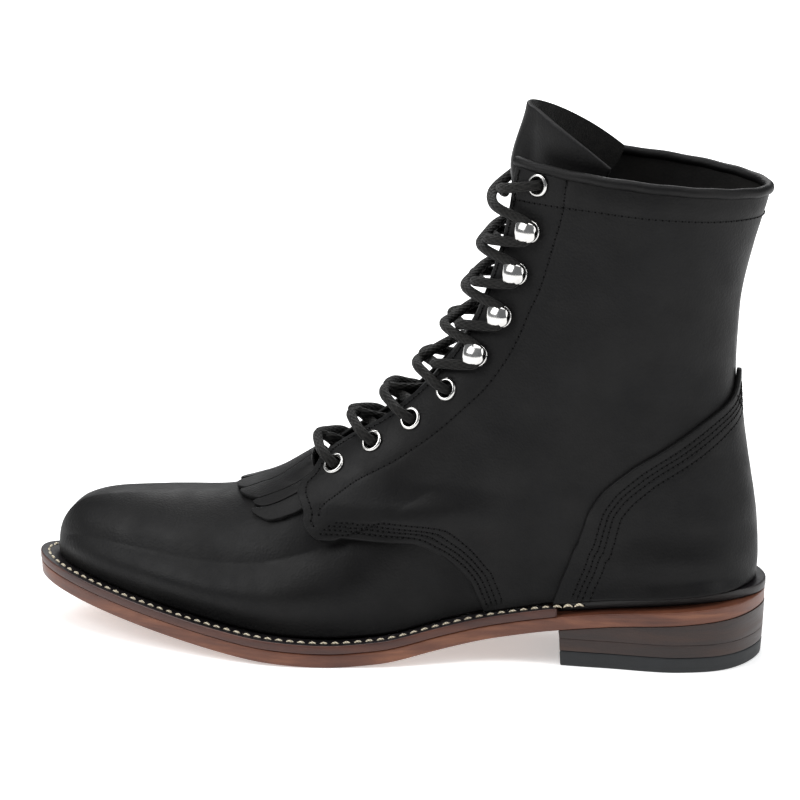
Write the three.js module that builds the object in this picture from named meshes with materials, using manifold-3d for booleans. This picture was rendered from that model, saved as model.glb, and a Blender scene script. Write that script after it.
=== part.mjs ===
// Lace-up leather packer boot (left foot), millimetres, +Z up.
// Toe towards -X, heel towards +X, outer side of the foot towards -Y.
// The origin is on the ground, under the middle of the boot.
import * as THREE from 'three';
import { mergeVertices } from 'three/addons/utils/BufferGeometryUtils.js';
import Module from 'manifold-3d';

const wasm = await Module();
wasm.setup();

// ---------------------------------------------------------------- driving dimensions
const CLEARANCE = 0.3;            // air between neighbouring pieces
const SEAT = 0.5;                 // air between the curved layers of the sole
const LAYER_GAP = 0.7;            // air between layers of leather that lie on each other

// Sole
const SOLE_LENGTH = 312;
const SOLE_TOE_X = -156;
const SOLE_WIDTH_FACTOR = 1;      // scales the plan of the sole and the upper on it
const WELT_THICKNESS = 3.5;
const WELT_WIDTH = 15;            // from the outer edge to under the insole
const WELT_MARGIN_TOE = 8.5;      // welt that shows around the toe
const WELT_MARGIN_HEEL = 9.7;     // from the heel's edge in to the shaft's own surface, under its cover
const OUTSOLE_THICKNESS = 5.7;
const INSOLE_THICKNESS = 3.2;
const INSOLE_INSET_TOE = 21;     // from the sole's edge to the insole's, at the toe
const INSOLE_INSET_HEEL = 22.5;
const HEEL_BREAST_X = 73.5;
const HEEL_CAP_THICKNESS = 6.5;
const HEEL_LIFT_THICKNESS = 5;
const HEEL_TAPER = 1.2;           // how far the heel draws in from the outsole to the ground
const NAIL_DIAMETER = 2.4;
const NAIL_HEAD_DIAMETER = 5;
const NAIL_HEAD_THICKNESS = 1;
const NAIL_LENGTH = 11;
const SHANK_LENGTH = 104;
const SHANK_WIDTH = 15;
const SHANK_THICKNESS = 1.4;

// Upper
const LEATHER = 2;                // vamp, quarters, counter cover
const LINING = 1.2;
const STAY = 1.2;                 // backing strip under the eyelets
const STAY_GAP = 0.4;
const STIFFENER = 1.6;            // toe puff and heel counter
const TONGUE_THICKNESS = 2.2;
const TONGUE_TOP_RISE = 0.075;    // how far the tongue stands above the collar, as a share of the upper
const BINDING_RADIUS = 2.1;       // rolled edge around the collar
const FACING_FRONT = 12.6;          // leather ahead of the row of eyelets and hooks

// Hardware and lace
const LACE_DIAMETER = 4.2;
const EYELET_OUTER = 9.6;
const EYELET_HOLE = 6.2;
const EYELET_BARREL = 7.1;
const EYELET_FLANGE = 0.8;
const HOOK_BASE = 9.5;
const HOOK_SHEET = 0.9;
const HOOK_REACH = 9;             // length of the hood over the lace
const HOOK_WIDTH = 8;
const HOOK_STEM_WIDTH = 4;
const HOOK_RIVET = 4;

// ---------------------------------------------------------------- small helpers
const clamp = (x, low, high) => Math.min(high, Math.max(low, x));
const mix = (a, b, s) => a + (b - a) * s;

function smooth(x, start, end) {
  const s = clamp((x - start) / (end - start), 0, 1);
  return s * s * (3 - 2 * s);
}

// A smooth curve through [position, value, value...] rows; it goes straight on past both ends.
function through(rows, column = 1) {
  const n = rows.length;
  const slope = (i) => (rows[i + 1][column] - rows[i][column]) / (rows[i + 1][0] - rows[i][0]);
  const tangents = rows.map((row, i) => {
    if (i === 0) return slope(0);
    if (i === n - 1) return slope(n - 2);
    const before = slope(i - 1);
    const after = slope(i);
    return before * after <= 0 ? 0 : (2 * before * after) / (before + after);
  });
  return (x) => {
    if (x <= rows[0][0]) return rows[0][column] + tangents[0] * (x - rows[0][0]);
    if (x >= rows[n - 1][0]) return rows[n - 1][column] + tangents[n - 1] * (x - rows[n - 1][0]);
    let i = 0;
    while (x > rows[i + 1][0]) i += 1;
    const h = rows[i + 1][0] - rows[i][0];
    const s = (x - rows[i][0]) / h;
    return (1 + 2 * s) * (1 - s) ** 2 * rows[i][column] + s * (1 - s) ** 2 * h * tangents[i]
      + s * s * (3 - 2 * s) * rows[i + 1][column] + s * s * (s - 1) * h * tangents[i + 1];
  };
}

// ---------------------------------------------------------------- the sole's plan and heights
// A place around the boot is a turn: 0 at the toe or instep, -1 to 0 round the outer side,
// 0 to 1 round the inner side, and 1 (the same as -1) at the back of the heel.
const along = (turn) => (1 - Math.cos(Math.PI * turn)) / 2;
const turnAt = (share) => Math.acos(1 - 2 * clamp(share, 0, 1)) / Math.PI;

const centreLine = through([[-160, 11.5], [-120, 8.5], [-60, 5], [0, 2.2], [60, 0.2], [160, 0]]);

// Fullness of the sole's plan, outer and inner side, at turns from toe to heel.
const soleOuter = through([[0, 54], [0.1, 53], [0.2, 54], [0.3, 57], [0.4, 60.2], [0.5, 51],
  [0.6, 35.6], [0.7, 43.5], [0.8, 61], [0.9, 74], [1, 64]]);
const soleInner = through([[0, 52], [0.1, 48], [0.2, 47], [0.3, 54.5], [0.4, 51], [0.5, 38],
  [0.6, 29.5], [0.7, 40.5], [0.8, 61], [0.9, 74], [1, 64]]);

// Height of the welt's top face along the boot.
const weltTop = through([[-156, 28.6], [-140, 25.2], [-110, 19.6], [-70, 13.6], [-45, 10.9],
  [-20, 9.9], [0, 11.2], [24, 15.9], [49, 20.7], [73, 25], [98, 28.2], [129, 30.6], [156, 32.6]]);
const outsoleTop = (x) => weltTop(x) - WELT_THICKNESS - SEAT;
const lowestOutsole = -20;
const groundShift = -(outsoleTop(lowestOutsole) - OUTSOLE_THICKNESS);
const outsoleBottom = (x) => outsoleTop(x) - OUTSOLE_THICKNESS;

// The inset draws the outline in, by one amount at the toe and another at the heel.
function solePlan(turn, insetToe = 0, insetHeel = insetToe) {
  const u = Math.abs(turn);
  const inset = mix(insetToe, insetHeel, along(u));
  const fullness = (turn < 0 ? soleOuter : soleInner)(u) * SOLE_WIDTH_FACTOR - inset;
  const x = SOLE_TOE_X + insetToe + (SOLE_LENGTH - insetToe - insetHeel) * along(u);
  return [x, centreLine(x) + Math.sign(turn) * Math.sin(Math.PI * u) * fullness];
}

// The feather line, where the upper meets the welt.
const featherMargin = through([[0, 5], [0.15, 6], [0.3, 7.5], [0.45, 8], [0.6, 8], [0.7, 11], [0.8, 13.5],
  [0.9, 15.5], [1, 15]]);
const featherToeX = SOLE_TOE_X + WELT_MARGIN_TOE;
const featherHeelX = SOLE_TOE_X + SOLE_LENGTH - WELT_MARGIN_HEEL;

function featherHalfWidth(u, side) {
  const fullness = (side < 0 ? soleOuter : soleInner)(u) * SOLE_WIDTH_FACTOR;
  return Math.sin(Math.PI * u) * (fullness - featherMargin(u));
}

// ---------------------------------------------------------------- the surface of the upper
// level: 0 at the feather line, 1 at the collar. Each level runs from the front ridge to the
// back seam, nearly level with the ground.
const frontRidge = [
  [0, featherToeX, 29], [0.06, -147.6, 35], [0.11, -145.8, 41.5], [0.16, -141, 49],
  [0.21, -134.5, 53.6], [0.27, -122, 57], [0.33, -102, 58.6], [0.39, -79, 59.8],
  [0.46, -55, 65.5], [0.52, -35.5, 76], [0.58, -17.5, 89], [0.65, -1, 103.5],
  [0.72, 15.5, 121], [0.8, 30.5, 145], [0.9, 41.5, 176], [1, 47, 207],
];
const backSeam = [
  [0, featherHeelX, 33], [0.08, 146.6, 36.5], [0.16, 147, 40.5], [0.22, 147.2, 44],
  [0.28, 147.3, 48], [0.34, 147.2, 53], [0.4, 146.8, 59], [0.46, 145.9, 66], [0.52, 144.4, 75],
  [0.58, 142.4, 87], [0.65, 140.2, 104], [0.72, 139.2, 124], [0.8, 140.2, 146], [0.9, 145, 172],
  [1, 151.8, 195.5],
];
const ridgeX = through(frontRidge, 1);
const ridgeZ = through(frontRidge, 2);
const seamX = through(backSeam, 1);
const seamZ = through(backSeam, 2);

// Fullness of the shaft and heel at turns from front to back, one row for each level.
const shaftRows = [
  [0.2, through([[0, 45], [0.4, 43], [0.5, 38], [0.6, 27.5], [0.7, 31], [0.8, 43], [0.9, 50], [1, 48]])],
  [0.4, through([[0, 50], [0.4, 42], [0.5, 35], [0.6, 29], [0.7, 31], [0.8, 38], [0.9, 43], [1, 44]])],
  [0.52, through([[0, 55], [0.2, 50], [0.4, 36], [0.6, 30.5], [0.7, 31.5], [0.8, 36], [1, 40]])],
  [0.65, through([[0, 49], [0.2, 44], [0.4, 34], [0.6, 30.5], [0.8, 33], [1, 36]])],
  [0.8, through([[0, 38], [0.2, 36.5], [0.4, 34.5], [0.6, 33.5], [0.8, 34.5], [1, 35]])],
  [1, through([[0, 34.5], [0.2, 34.5], [0.4, 35.5], [0.6, 36], [0.8, 35.5], [1, 34]])],
];

function shaftFullness(u, level) {
  let i = 0;
  while (i < shaftRows.length - 2 && level > shaftRows[i + 1][0]) i += 1;
  const s = smooth(level, shaftRows[i][0], shaftRows[i + 1][0]);
  return mix(shaftRows[i][1](u), shaftRows[i + 1][1](u), s);
}

// The level whose ridge point lies at x.
function ridgeLevelAt(x) {
  let low = 0;
  let high = 1.1;
  for (let i = 0; i < 40; i += 1) {
    const middle = (low + high) / 2;
    if (ridgeX(middle) < x) low = middle;
    else high = middle;
  }
  return low;
}

const LOWER_FADE = 0.45;          // the sole line's curve has faded out at this level
const FOREFOOT_POWER = through([[-147, 2.4], [-60, 2.8], [-20, 3.2], [40, 3.2]]);
const FOREFOOT_TAPER = through([[-147, 0.02], [-90, 0.04], [-60, 0.1], [-20, 0.26], [40, 0.3]]);

function sideElevation(u, level) {
  const share = along(u);
  const x = mix(ridgeX(level), seamX(level), share);
  const sag = weltTop(x) + SEAT - mix(ridgeZ(0), seamZ(0), share);
  const fade = Math.max(0, 1 - Math.max(0, level) / LOWER_FADE) ** 2;
  return [x, mix(ridgeZ(level), seamZ(level), share) + sag * fade];
}

function halfWidth(u, level, side) {
  const [x, z] = sideElevation(u, level);
  const featherU = turnAt((x - featherToeX) / (featherHeelX - featherToeX));
  const base = featherHalfWidth(featherU, side);
  const ridge = ridgeZ(ridgeLevelAt(Math.min(x, ridgeX(1.09))));
  const bottom = weltTop(x) + SEAT;
  const rise = clamp((z - bottom) / Math.max(1, ridge - bottom), 0, 1);
  const crown = Math.sqrt(Math.max(0, 1 - rise ** FOREFOOT_POWER(x)));
  const bulge = 1 + 0.14 * Math.sin(Math.PI * clamp(rise / 0.5, 0, 1));
  const forefoot = base * bulge * (1 - FOREFOOT_TAPER(x) * rise) * crown;
  const shaft = Math.sin(Math.PI * u) * shaftFullness(u, level);
  const width = mix(forefoot, shaft, smooth(x, -25, 55));
  const onFeather = Math.max(0, 1 - Math.max(0, level) / 0.14) ** 2;
  return mix(width, featherHalfWidth(u, side), onFeather);
}

function surface(turn, level) {
  let wrapped = turn;
  if (wrapped > 1) wrapped -= 2;
  if (wrapped < -1) wrapped += 2;
  const u = Math.abs(wrapped);
  const side = wrapped < 0 ? -1 : 1;
  const [x, z] = sideElevation(u, level);
  const y = centreLine(x) * (1 - smooth(level, 0.3, 0.7)) + side * halfWidth(u, level, side);
  return new THREE.Vector3(x, y, z);
}

// Outward normal, from two short steps over the surface; along the welt it lies level.
const LEVEL_AT_FEATHER = 0.05;

function normalAt(turn, level) {
  const step = 0.004;
  const across = surface(turn + step, level).sub(surface(turn - step, level));
  const up = surface(turn, level + step).sub(surface(turn, level - step));
  const normal = up.cross(across);
  normal.z *= smooth(level, 0, LEVEL_AT_FEATHER);
  return normal.normalize();
}

const skin = (turn, level, offset) => surface(turn, level).addScaledVector(normalAt(turn, level), offset);

// Turn and level of the place on the outer side seen at x, z in side elevation.
function placeAt(x, z) {
  let low = 0;
  let high = 1.1;
  const turnOn = (level) => turnAt((x - ridgeX(level)) / (seamX(level) - ridgeX(level)));
  for (let i = 0; i < 40; i += 1) {
    const middle = (low + high) / 2;
    if (sideElevation(turnOn(middle), middle)[1] < z) low = middle;
    else high = middle;
  }
  return [turnOn(low), low];
}

// ---------------------------------------------------------------- mesh building
function geometryFrom(points, faces) {
  const geometry = new THREE.BufferGeometry();
  const positions = new Float32Array(points.length * 3);
  points.forEach((p, i) => p.toArray(positions, i * 3));
  geometry.setAttribute('position', new THREE.BufferAttribute(positions, 3));
  geometry.setIndex(faces.flat());
  return geometry;
}

function signedVolume(points, faces) {
  const cross = new THREE.Vector3();
  let total = 0;
  for (const [a, b, c] of faces) total += points[a].dot(cross.crossVectors(points[b], points[c]));
  return total / 6;
}

// A closed sheet: an outer and an inner grid of points, joined round their edge.
function sheet(columns, rows, outerAt, innerAt) {
  const points = [];
  const faces = [];
  const index = (layer, i, j) => layer * (columns + 1) * (rows + 1) + i * (rows + 1) + j;
  for (const at of [outerAt, innerAt]) {
    for (let i = 0; i <= columns; i += 1) {
      for (let j = 0; j <= rows; j += 1) points.push(at(i / columns, j / rows));
    }
  }
  const quad = (a, b, c, d) => {
    const shortFirst = points[a].distanceTo(points[c]) <= points[b].distanceTo(points[d]);
    if (shortFirst) faces.push([a, b, c], [a, c, d]);
    else faces.push([a, b, d], [b, c, d]);
  };
  for (let i = 0; i < columns; i += 1) {
    for (let j = 0; j < rows; j += 1) {
      quad(index(0, i, j), index(0, i + 1, j), index(0, i + 1, j + 1), index(0, i, j + 1));
      quad(index(1, i, j), index(1, i, j + 1), index(1, i + 1, j + 1), index(1, i + 1, j));
    }
    quad(index(1, i, 0), index(1, i + 1, 0), index(0, i + 1, 0), index(0, i, 0));
    quad(index(0, i, rows), index(0, i + 1, rows), index(1, i + 1, rows), index(1, i, rows));
  }
  for (let j = 0; j < rows; j += 1) {
    quad(index(0, 0, j), index(0, 0, j + 1), index(1, 0, j + 1), index(1, 0, j));
    quad(index(1, columns, j), index(1, columns, j + 1), index(0, columns, j + 1), index(0, columns, j));
  }
  if (signedVolume(points, faces) < 0) faces.forEach((face) => face.reverse());
  return geometryFrom(points, faces);
}

// A leather piece: place(a, b) gives its turn and level, between two offsets from the surface.
function leather(columns, rows, place, inner, outer) {
  const at = (offset) => (a, b) => {
    const [turn, level] = place(a, b);
    const distance = typeof offset === 'function' ? offset(turn, level) : offset;
    return skin(turn, level, distance);
  };
  return sheet(columns, rows, at(outer), at(inner));
}

function asSolid(geometry) {
  let clean = geometry.clone();
  clean.deleteAttribute('normal');
  clean.deleteAttribute('uv');
  clean = mergeVertices(clean, 1e-5);
  return new wasm.Manifold(new wasm.Mesh({
    numProp: 3,
    vertProperties: clean.attributes.position.array,
    triVerts: Uint32Array.from(clean.index.array),
  }));
}

function fromSolid(solid) {
  const mesh = solid.getMesh();
  const geometry = new THREE.BufferGeometry();
  geometry.setAttribute('position', new THREE.BufferAttribute(mesh.vertProperties, 3));
  geometry.setIndex(new THREE.BufferAttribute(mesh.triVerts, 1));
  return geometry;
}

function cut(geometry, tools) {
  let solid = asSolid(geometry);
  for (const tool of tools) solid = solid.subtract(asSolid(tool));
  return fromSolid(solid);
}

// A turned piece: profile rows are [radius, height].
const lathe = (profile, sides) => new THREE.LatheGeometry(profile.map((p) => new THREE.Vector2(...p)), sides)
  .rotateX(Math.PI / 2);

const cylinder = (radius, length, sides) => new THREE.CylinderGeometry(radius, radius, length, sides)
  .rotateX(Math.PI / 2);

// The frame on the facing at a place: +Z out of the leather, +X towards the lace throat.
function seatOn(turn, level, offset) {
  const out = normalAt(turn, level);
  const ahead = surface(turn * 0.97, level).sub(surface(turn, level));
  ahead.addScaledVector(out, -ahead.dot(out)).normalize();
  const side = new THREE.Vector3().crossVectors(out, ahead);
  return new THREE.Matrix4().makeBasis(ahead, side, out).setPosition(skin(turn, level, offset));
}

const group = new THREE.Group();
group.position.z = groundShift;

function add(name, geometry, finish) {
  const mesh = new THREE.Mesh(geometry, finish);
  mesh.name = name;
  group.add(mesh);
  return mesh;
}

function finish(color, roughness, metalness = 0) {
  return new THREE.MeshStandardMaterial({ color, roughness, metalness });
}
const blackLeather = finish(0x1b1b1d, 0.42);
const blackLining = finish(0x2a2725, 0.85);
const boardTan = finish(0x9a7a55, 0.8);
const soleBrown = finish(0x87503a, 0.6);
const weltBrown = finish(0x5f3729, 0.55);
const heelBrown = finish(0x3a2a24, 0.6);
const capRubber = finish(0x222426, 0.8);
const nickel = finish(0xb9bcc0, 0.28, 1);
const steel = finish(0x8d9094, 0.35, 1);
const laceBlack = finish(0x141416, 0.8);
const corkBrown = finish(0xa07b52, 0.9);

// ---------------------------------------------------------------- sole and heel
// A flat piece with the sole's plan between two turns' x stations, with given faces.
function plate(startX, insets, topAt, bottomAt, stations, strips) {
  const outline = solePlan(0, ...insets);
  const length = SOLE_LENGTH - insets[0] - insets.at(-1);
  const first = turnAt((startX - outline[0]) / length);
  const points = [];
  const faces = [];
  const pointed = startX <= outline[0];
  const rings = [];
  for (let i = 0; i <= stations; i += 1) {
    const u = mix(first, 1, i / stations);
    const [x, outer] = solePlan(-u, ...insets);
    const inner = solePlan(u, ...insets)[1];
    const collapsed = i === stations || (pointed && i === 0);
    const count = collapsed ? 1 : strips + 1;
    const ring = { top: [], bottom: [] };
    for (let j = 0; j < count; j += 1) {
      const y = collapsed ? outer : mix(outer, inner, j / strips);
      ring.top.push(points.push(new THREE.Vector3(x, y, topAt(x))) - 1);
      ring.bottom.push(points.push(new THREE.Vector3(x, y, bottomAt(x))) - 1);
    }
    rings.push(ring);
  }
  const strip = (a, b) => {
    for (let j = 0; j < Math.max(a.length, b.length) - 1; j += 1) {
      if (a.length === 1) faces.push([a[0], b[j], b[j + 1]]);
      else if (b.length === 1) faces.push([a[j], b[0], a[j + 1]]);
      else faces.push([a[j], b[j], b[j + 1]], [a[j], b[j + 1], a[j + 1]]);
    }
  };
  const wall = (a, b, c, d) => faces.push([a, b, c], [a, c, d]);
  for (let i = 0; i < stations; i += 1) {
    const here = rings[i];
    const next = rings[i + 1];
    strip(here.top, next.top);
    strip(next.bottom, here.bottom);
    wall(here.top[0], here.bottom[0], next.bottom[0], next.top[0]);
    wall(here.top.at(-1), next.top.at(-1), next.bottom.at(-1), here.bottom.at(-1));
  }
  if (!pointed) {
    const ring = rings[0];
    for (let j = 0; j < strips; j += 1) {
      wall(ring.top[j], ring.top[j + 1], ring.bottom[j + 1], ring.bottom[j]);
    }
  }
  if (signedVolume(points, faces) < 0) faces.forEach((face) => face.reverse());
  return geometryFrom(points, faces);
}

// A strip that follows the sole's edge between two turns, from the edge inwards.
function edgeStrip(firstTurn, lastTurn, columns, width, top, bottom) {
  const at = (height) => (a, b) => {
    const turn = mix(firstTurn, lastTurn, a);
    const wrapped = turn > 1 ? turn - 2 : turn;
    const [x, y] = solePlan(wrapped, 0);
    const [innerX, innerY] = solePlan(wrapped, width);
    const px = mix(x, innerX, b);
    return new THREE.Vector3(px, mix(y, innerY, b), height(px));
  };
  return sheet(columns, 1, at(top), at(bottom));
}

const breastTurn = turnAt((HEEL_BREAST_X - SOLE_TOE_X) / SOLE_LENGTH);
const breastGap = 0.0012;         // share of a half turn that parts the welt from the heel rand

function buildSole() {
  const weltBottom = (x) => weltTop(x) - WELT_THICKNESS;
  const weltEnd = breastTurn - breastGap;
  add('welt', edgeStrip(-weltEnd, weltEnd, 36, WELT_WIDTH, weltTop, weltBottom), weltBrown);
  add('heel_rand', edgeStrip(breastTurn, 2 - breastTurn, 18, WELT_WIDTH, weltTop, weltBottom), weltBrown);
  add('outsole', plate(SOLE_TOE_X, [0], outsoleTop, outsoleBottom, 22, 3), soleBrown);

  const fillerInset = WELT_WIDTH + 3;
  const filler = plate(SOLE_TOE_X, [fillerInset],
    (x) => weltTop(x) - 0.2, (x) => outsoleTop(x) + SEAT, 16, 2);
  const shankMiddle = 42;
  const shankY = centreLine(shankMiddle);
  const shankAt = (lift) => (a, b) => {
    const x = shankMiddle + SHANK_LENGTH * (a - 0.5);
    const rounding = Math.sqrt(Math.max(0.16, 1 - (2 * a - 1) ** 6));
    return new THREE.Vector3(x, shankY + SHANK_WIDTH * (b - 0.5) * rounding, weltBottom(x) + 0.9 + lift);
  };
  const pocket = new THREE.BoxGeometry(SHANK_LENGTH + 2 * CLEARANCE, SHANK_WIDTH + 2 * CLEARANCE, 60)
    .translate(shankMiddle, shankY, 30);
  add('cork_filler', cut(filler, [pocket]), corkBrown);
  add('shank', sheet(14, 2, shankAt(SHANK_THICKNESS), shankAt(0)), steel);
}

function heelBlock(bottom, topAt) {
  const inset = (z) => HEEL_TAPER * (1 - z / 20);
  const block = plate(HEEL_BREAST_X, [0.3], topAt, () => bottom, 12, 2);
  const position = block.attributes.position;
  const middle = (HEEL_BREAST_X + SOLE_TOE_X + SOLE_LENGTH) / 2;
  for (let i = 0; i < position.count; i += 1) {
    const z = position.getZ(i);
    position.setX(i, position.getX(i) - Math.sign(position.getX(i) - middle) * inset(z));
    position.setY(i, position.getY(i) * (1 - inset(z) / 36));
  }
  return block;
}

const nailPlaces = [[90, -20], [90, 20], [132, -18], [132, 18]];

function buildHeel() {
  const ground = -groundShift;
  const capTop = ground + HEEL_CAP_THICKNESS;
  const lowerTop = capTop + CLEARANCE + HEEL_LIFT_THICKNESS;
  const headRoom = 2.5;
  const nail = (grow, length) => lathe([
    [0, -grow], [NAIL_HEAD_DIAMETER / 2 + grow, -grow],
    [NAIL_HEAD_DIAMETER / 2 + grow, NAIL_HEAD_THICKNESS + grow],
    [NAIL_DIAMETER / 2 + grow, NAIL_HEAD_THICKNESS + grow],
    [NAIL_DIAMETER / 2 + grow, length + grow], [0, length + grow],
  ], 10);
  const place = (geometry, [x, y]) => geometry.translate(x, y, ground + headRoom);
  const holes = nailPlaces.map((spot) => place(nail(CLEARANCE, NAIL_LENGTH), spot));
  const mouths = nailPlaces.map((spot) => place(
    cylinder(NAIL_HEAD_DIAMETER / 2 + CLEARANCE, 2 * headRoom, 10),
    spot,
  ));
  add('heel_cap', cut(heelBlock(ground, () => capTop), [...holes, ...mouths]), capRubber);
  add('heel_lift_lower', cut(heelBlock(capTop + CLEARANCE, () => lowerTop), holes), heelBrown);
  const upper = heelBlock(lowerTop + CLEARANCE, (x) => outsoleBottom(x) - SEAT);
  add('heel_lift_upper', cut(upper, holes), heelBrown);
  nailPlaces.forEach((spot, i) => add(`heel_nail_${i + 1}`, place(nail(0, NAIL_LENGTH), spot), steel));
}

// ---------------------------------------------------------------- leather pieces
const polar = (points) => {
  const places = points.map(([x, z]) => placeAt(x, z));
  const rows = places.map((p, i) => [i / (places.length - 1), ...p]);
  return [through(rows, 1), through(rows, 2)];
};

// Places in side elevation where the lace passes, from the toe up: four eyelets, four hooks, an eyelet.
const STATIONS = [
  { kind: 'eyelet', x: -20.6, z: 77.4 }, { kind: 'eyelet', x: -4.5, z: 88.3 },
  { kind: 'eyelet', x: 11.9, z: 99.5 }, { kind: 'eyelet', x: 27.3, z: 113.2 },
  { kind: 'hook', x: 40.5, z: 128.4 }, { kind: 'hook', x: 50.2, z: 145.5 },
  { kind: 'hook', x: 56.5, z: 163.3 }, { kind: 'hook', x: 61.4, z: 180.8 },
  { kind: 'eyelet', x: 64.3, z: 199.7 },
].map((station) => ({ ...station, place: placeAt(station.x, station.z) }));

// Front edge of the facing, from the collar down the throat and back to the vamp's corner.
const FACING_FOOT = [[-33, 70], [-30, 61], [-25.5, 52]];
const [footTurn, footLevel] = placeAt(...FACING_FOOT[0]);
const cornerPlace = placeAt(...FACING_FOOT[2]);

const rowTurn = through(STATIONS.map(({ place: [turn, level] }) => [level, turn]));
const ROW_SHARE = 0.72;           // share of the front edge that runs beside the row

function rowEdge(level) {
  const turn = rowTurn(level);
  const perTurn = surface(turn, level).distanceTo(surface(turn - 0.05, level)) / 0.05;
  return turn - FACING_FRONT / perTurn;
}

function facingEdge(s) {
  if (s >= 1 - ROW_SHARE) {
    const level = mix(footLevel, 1, (s - 1 + ROW_SHARE) / ROW_SHARE);
    return [mix(footTurn, rowEdge(level), smooth(level, footLevel, footLevel + 0.07)), level];
  }
  const [turn, level] = polar(FACING_FOOT);
  const k = 1 - s / (1 - ROW_SHARE);
  return [turn(k), level(k)];
}

// Lower edge of the quarter over the vamp, from the facing's corner to the welt.
const SEAM_OVER_VAMP = [[-25.5, 52], [-12, 51], [2, 51.5], [16, 49], [26, 43], [33, 34], [38, 19.5]];
const seamEnd = placeAt(...SEAM_OVER_VAMP.at(-1));

function quarterFoot(s) {
  const share = 0.36;
  if (s <= share) {
    const [turn, level] = polar(SEAM_OVER_VAMP);
    return [turn(s / share), Math.max(0, level(s / share))];
  }
  return [mix(seamEnd[0], 1, (s - share) / (1 - share)), 0];
}
const backGap = 0.0015;

function quarterPlace(side) {
  const edgeTop = facingEdge(1);
  return (a, share) => {
    const b = share ** 1.3;
    const bottom = quarterFoot(a);
    const top = [mix(edgeTop[0], 1, a), 1];
    const front = facingEdge(b);
    const corner = [facingEdge(0), edgeTop];
    const back = [1, b];
    const blend = (k) => mix(bottom[k], top[k], b) + mix(front[k], back[k], a)
      - mix(mix(corner[0][k], corner[1][k], b), mix(k === 0 ? 1 : 0, 1, b), a);
    return [side * Math.min(blend(0), 1 - backGap), clamp(blend(1), 0.001, 1)];
  };
}

const quarterLift = (turn, level) => {
  const u = Math.abs(turn);
  const overKiltie = (1 - smooth(level, 0.43, 0.53)) * (1 - smooth(u, 0.4, 0.52));
  const overVampEnd = smooth(u, 0.42, 0.5) * (1 - smooth(u, 0.62, 0.68)) * (1 - smooth(level, 0.3, 0.45));
  return LAYER_GAP + (LEATHER + LAYER_GAP) * overKiltie + LAYER_GAP * overVampEnd;
};


const quarterTop = (turn, level) => quarterLift(turn, level) + LEATHER;

function drills(side) {
  return STATIONS.map(({ kind, place: [turn, level] }) => {
    const radius = (kind === 'eyelet' ? EYELET_BARREL : HOOK_RIVET) / 2 + CLEARANCE;
    return cylinder(radius, 16, 8).applyMatrix4(seatOn(side * turn, level, 0));
  });
}

function buildQuarters() {
  for (const side of [-1, 1]) {
    const name = side < 0 ? 'lateral' : 'medial';
    const quarter = leather(18, 14, quarterPlace(side), quarterLift, quarterTop);
    add(`quarter_${name}`, cut(quarter, drills(side)), blackLeather);
    const stayWidth = 0.105;
    const stayFoot = 0.545;
    const place = (a, b) => {
      const level = mix(stayFoot, 0.985, b);
      return [side * (rowEdge(level) + 0.006 + stayWidth * a), level];
    };
    const stay = leather(2, 14, place, (t, v) => quarterLift(t, v) - STAY_GAP - STAY,
      (t, v) => quarterLift(t, v) - STAY_GAP);
    add(`facing_stay_${name}`, cut(stay, drills(side)), blackLining);
  }
}

// Throat line of the vamp: straight over the ridge, then back under the quarters.
const VAMP_THROAT = [[-37.5, 75], [-25, 68.5], [-2, 64], [22, 60], [40, 50], [50, 36]];
const throatPlaces = VAMP_THROAT.map(([x, z]) => placeAt(x, z));
throatPlaces[0][0] = 0;
const vampTop = through(throatPlaces, 1);
const vampEnd = throatPlaces.at(-1)[0];

const vampPlace = (end = vampEnd, top = 0) => (a, b) => {
  const turn = mix(-end, end, a);
  return [turn, Math.max(0.001, (vampTop(Math.abs(turn)) - top) * b)];
};

function buildVamp() {
  add('vamp', leather(24, 8, vampPlace(), -LEATHER, 0), blackLeather);
  const puffEnd = 0.24;
  const puffPlace = (a, b) => {
    const turn = mix(-puffEnd, puffEnd, a);
    return [turn, mix(0.004, 0.325 - 0.9 * (turn * turn), b)];
  };
  const puffTop = -LEATHER - 1.4 * LAYER_GAP;
  add('toe_puff', leather(12, 5, puffPlace, puffTop - STIFFENER, puffTop), boardTan);
  const liningTop = puffTop - STIFFENER - 1.6 * LAYER_GAP;
  const liningPlace = vampPlace(vampEnd - 0.02, 0.012);
  add('vamp_lining', leather(20, 6, liningPlace, liningTop - LINING, liningTop), blackLining);
}

// Edge of the counter cover, from the top of the back seam down to the welt.
const COUNTER_EDGE = [[143.4, 127], [138.5, 114], [129.5, 103.5], [114, 93], [103, 83], [96.5, 72],
  [91, 60], [85.5, 44], [80, 27.5]];
const counterPlaces = COUNTER_EDGE.map(([x, z]) => placeAt(x, z)).reverse();
const counterTurn = through(counterPlaces.map(([turn, level]) => [Math.max(0, level), turn]));
const counterTop = placeAt(...COUNTER_EDGE[0])[1];

function heelPatch(scale, topLevel) {
  return (a, b) => {
    const level = mix(0.002, topLevel, b ** 1.15);
    const reach = (1 - counterTurn(level / topLevel * counterTop)) * scale + 0.012;
    return [1 + reach * (2 * a - 1), level];
  };
}

function buildHeelUpper() {
  const coverFloor = LAYER_GAP + LEATHER + 1.6 * LAYER_GAP;
  const coverUnder = (turn, level) => coverFloor + 2.8 * LAYER_GAP * smooth(level, 0.45, 0.64);
  const coverTop = (turn, level) => coverUnder(turn, level) + LEATHER;
  add('counter_cover', leather(14, 14, heelPatch(1, counterTop), coverUnder, coverTop), blackLeather);
  const counterHeight = placeAt(150, 84)[1];
  const counterPlace = heelPatch(1, counterHeight);
  add('heel_counter', leather(16, 5, counterPlace, -STIFFENER, 0), boardTan);
  const liningTop = -STIFFENER - LAYER_GAP;
  add('heel_lining', leather(16, 5, counterPlace, liningTop - LINING, liningTop), blackLining);
}

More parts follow.
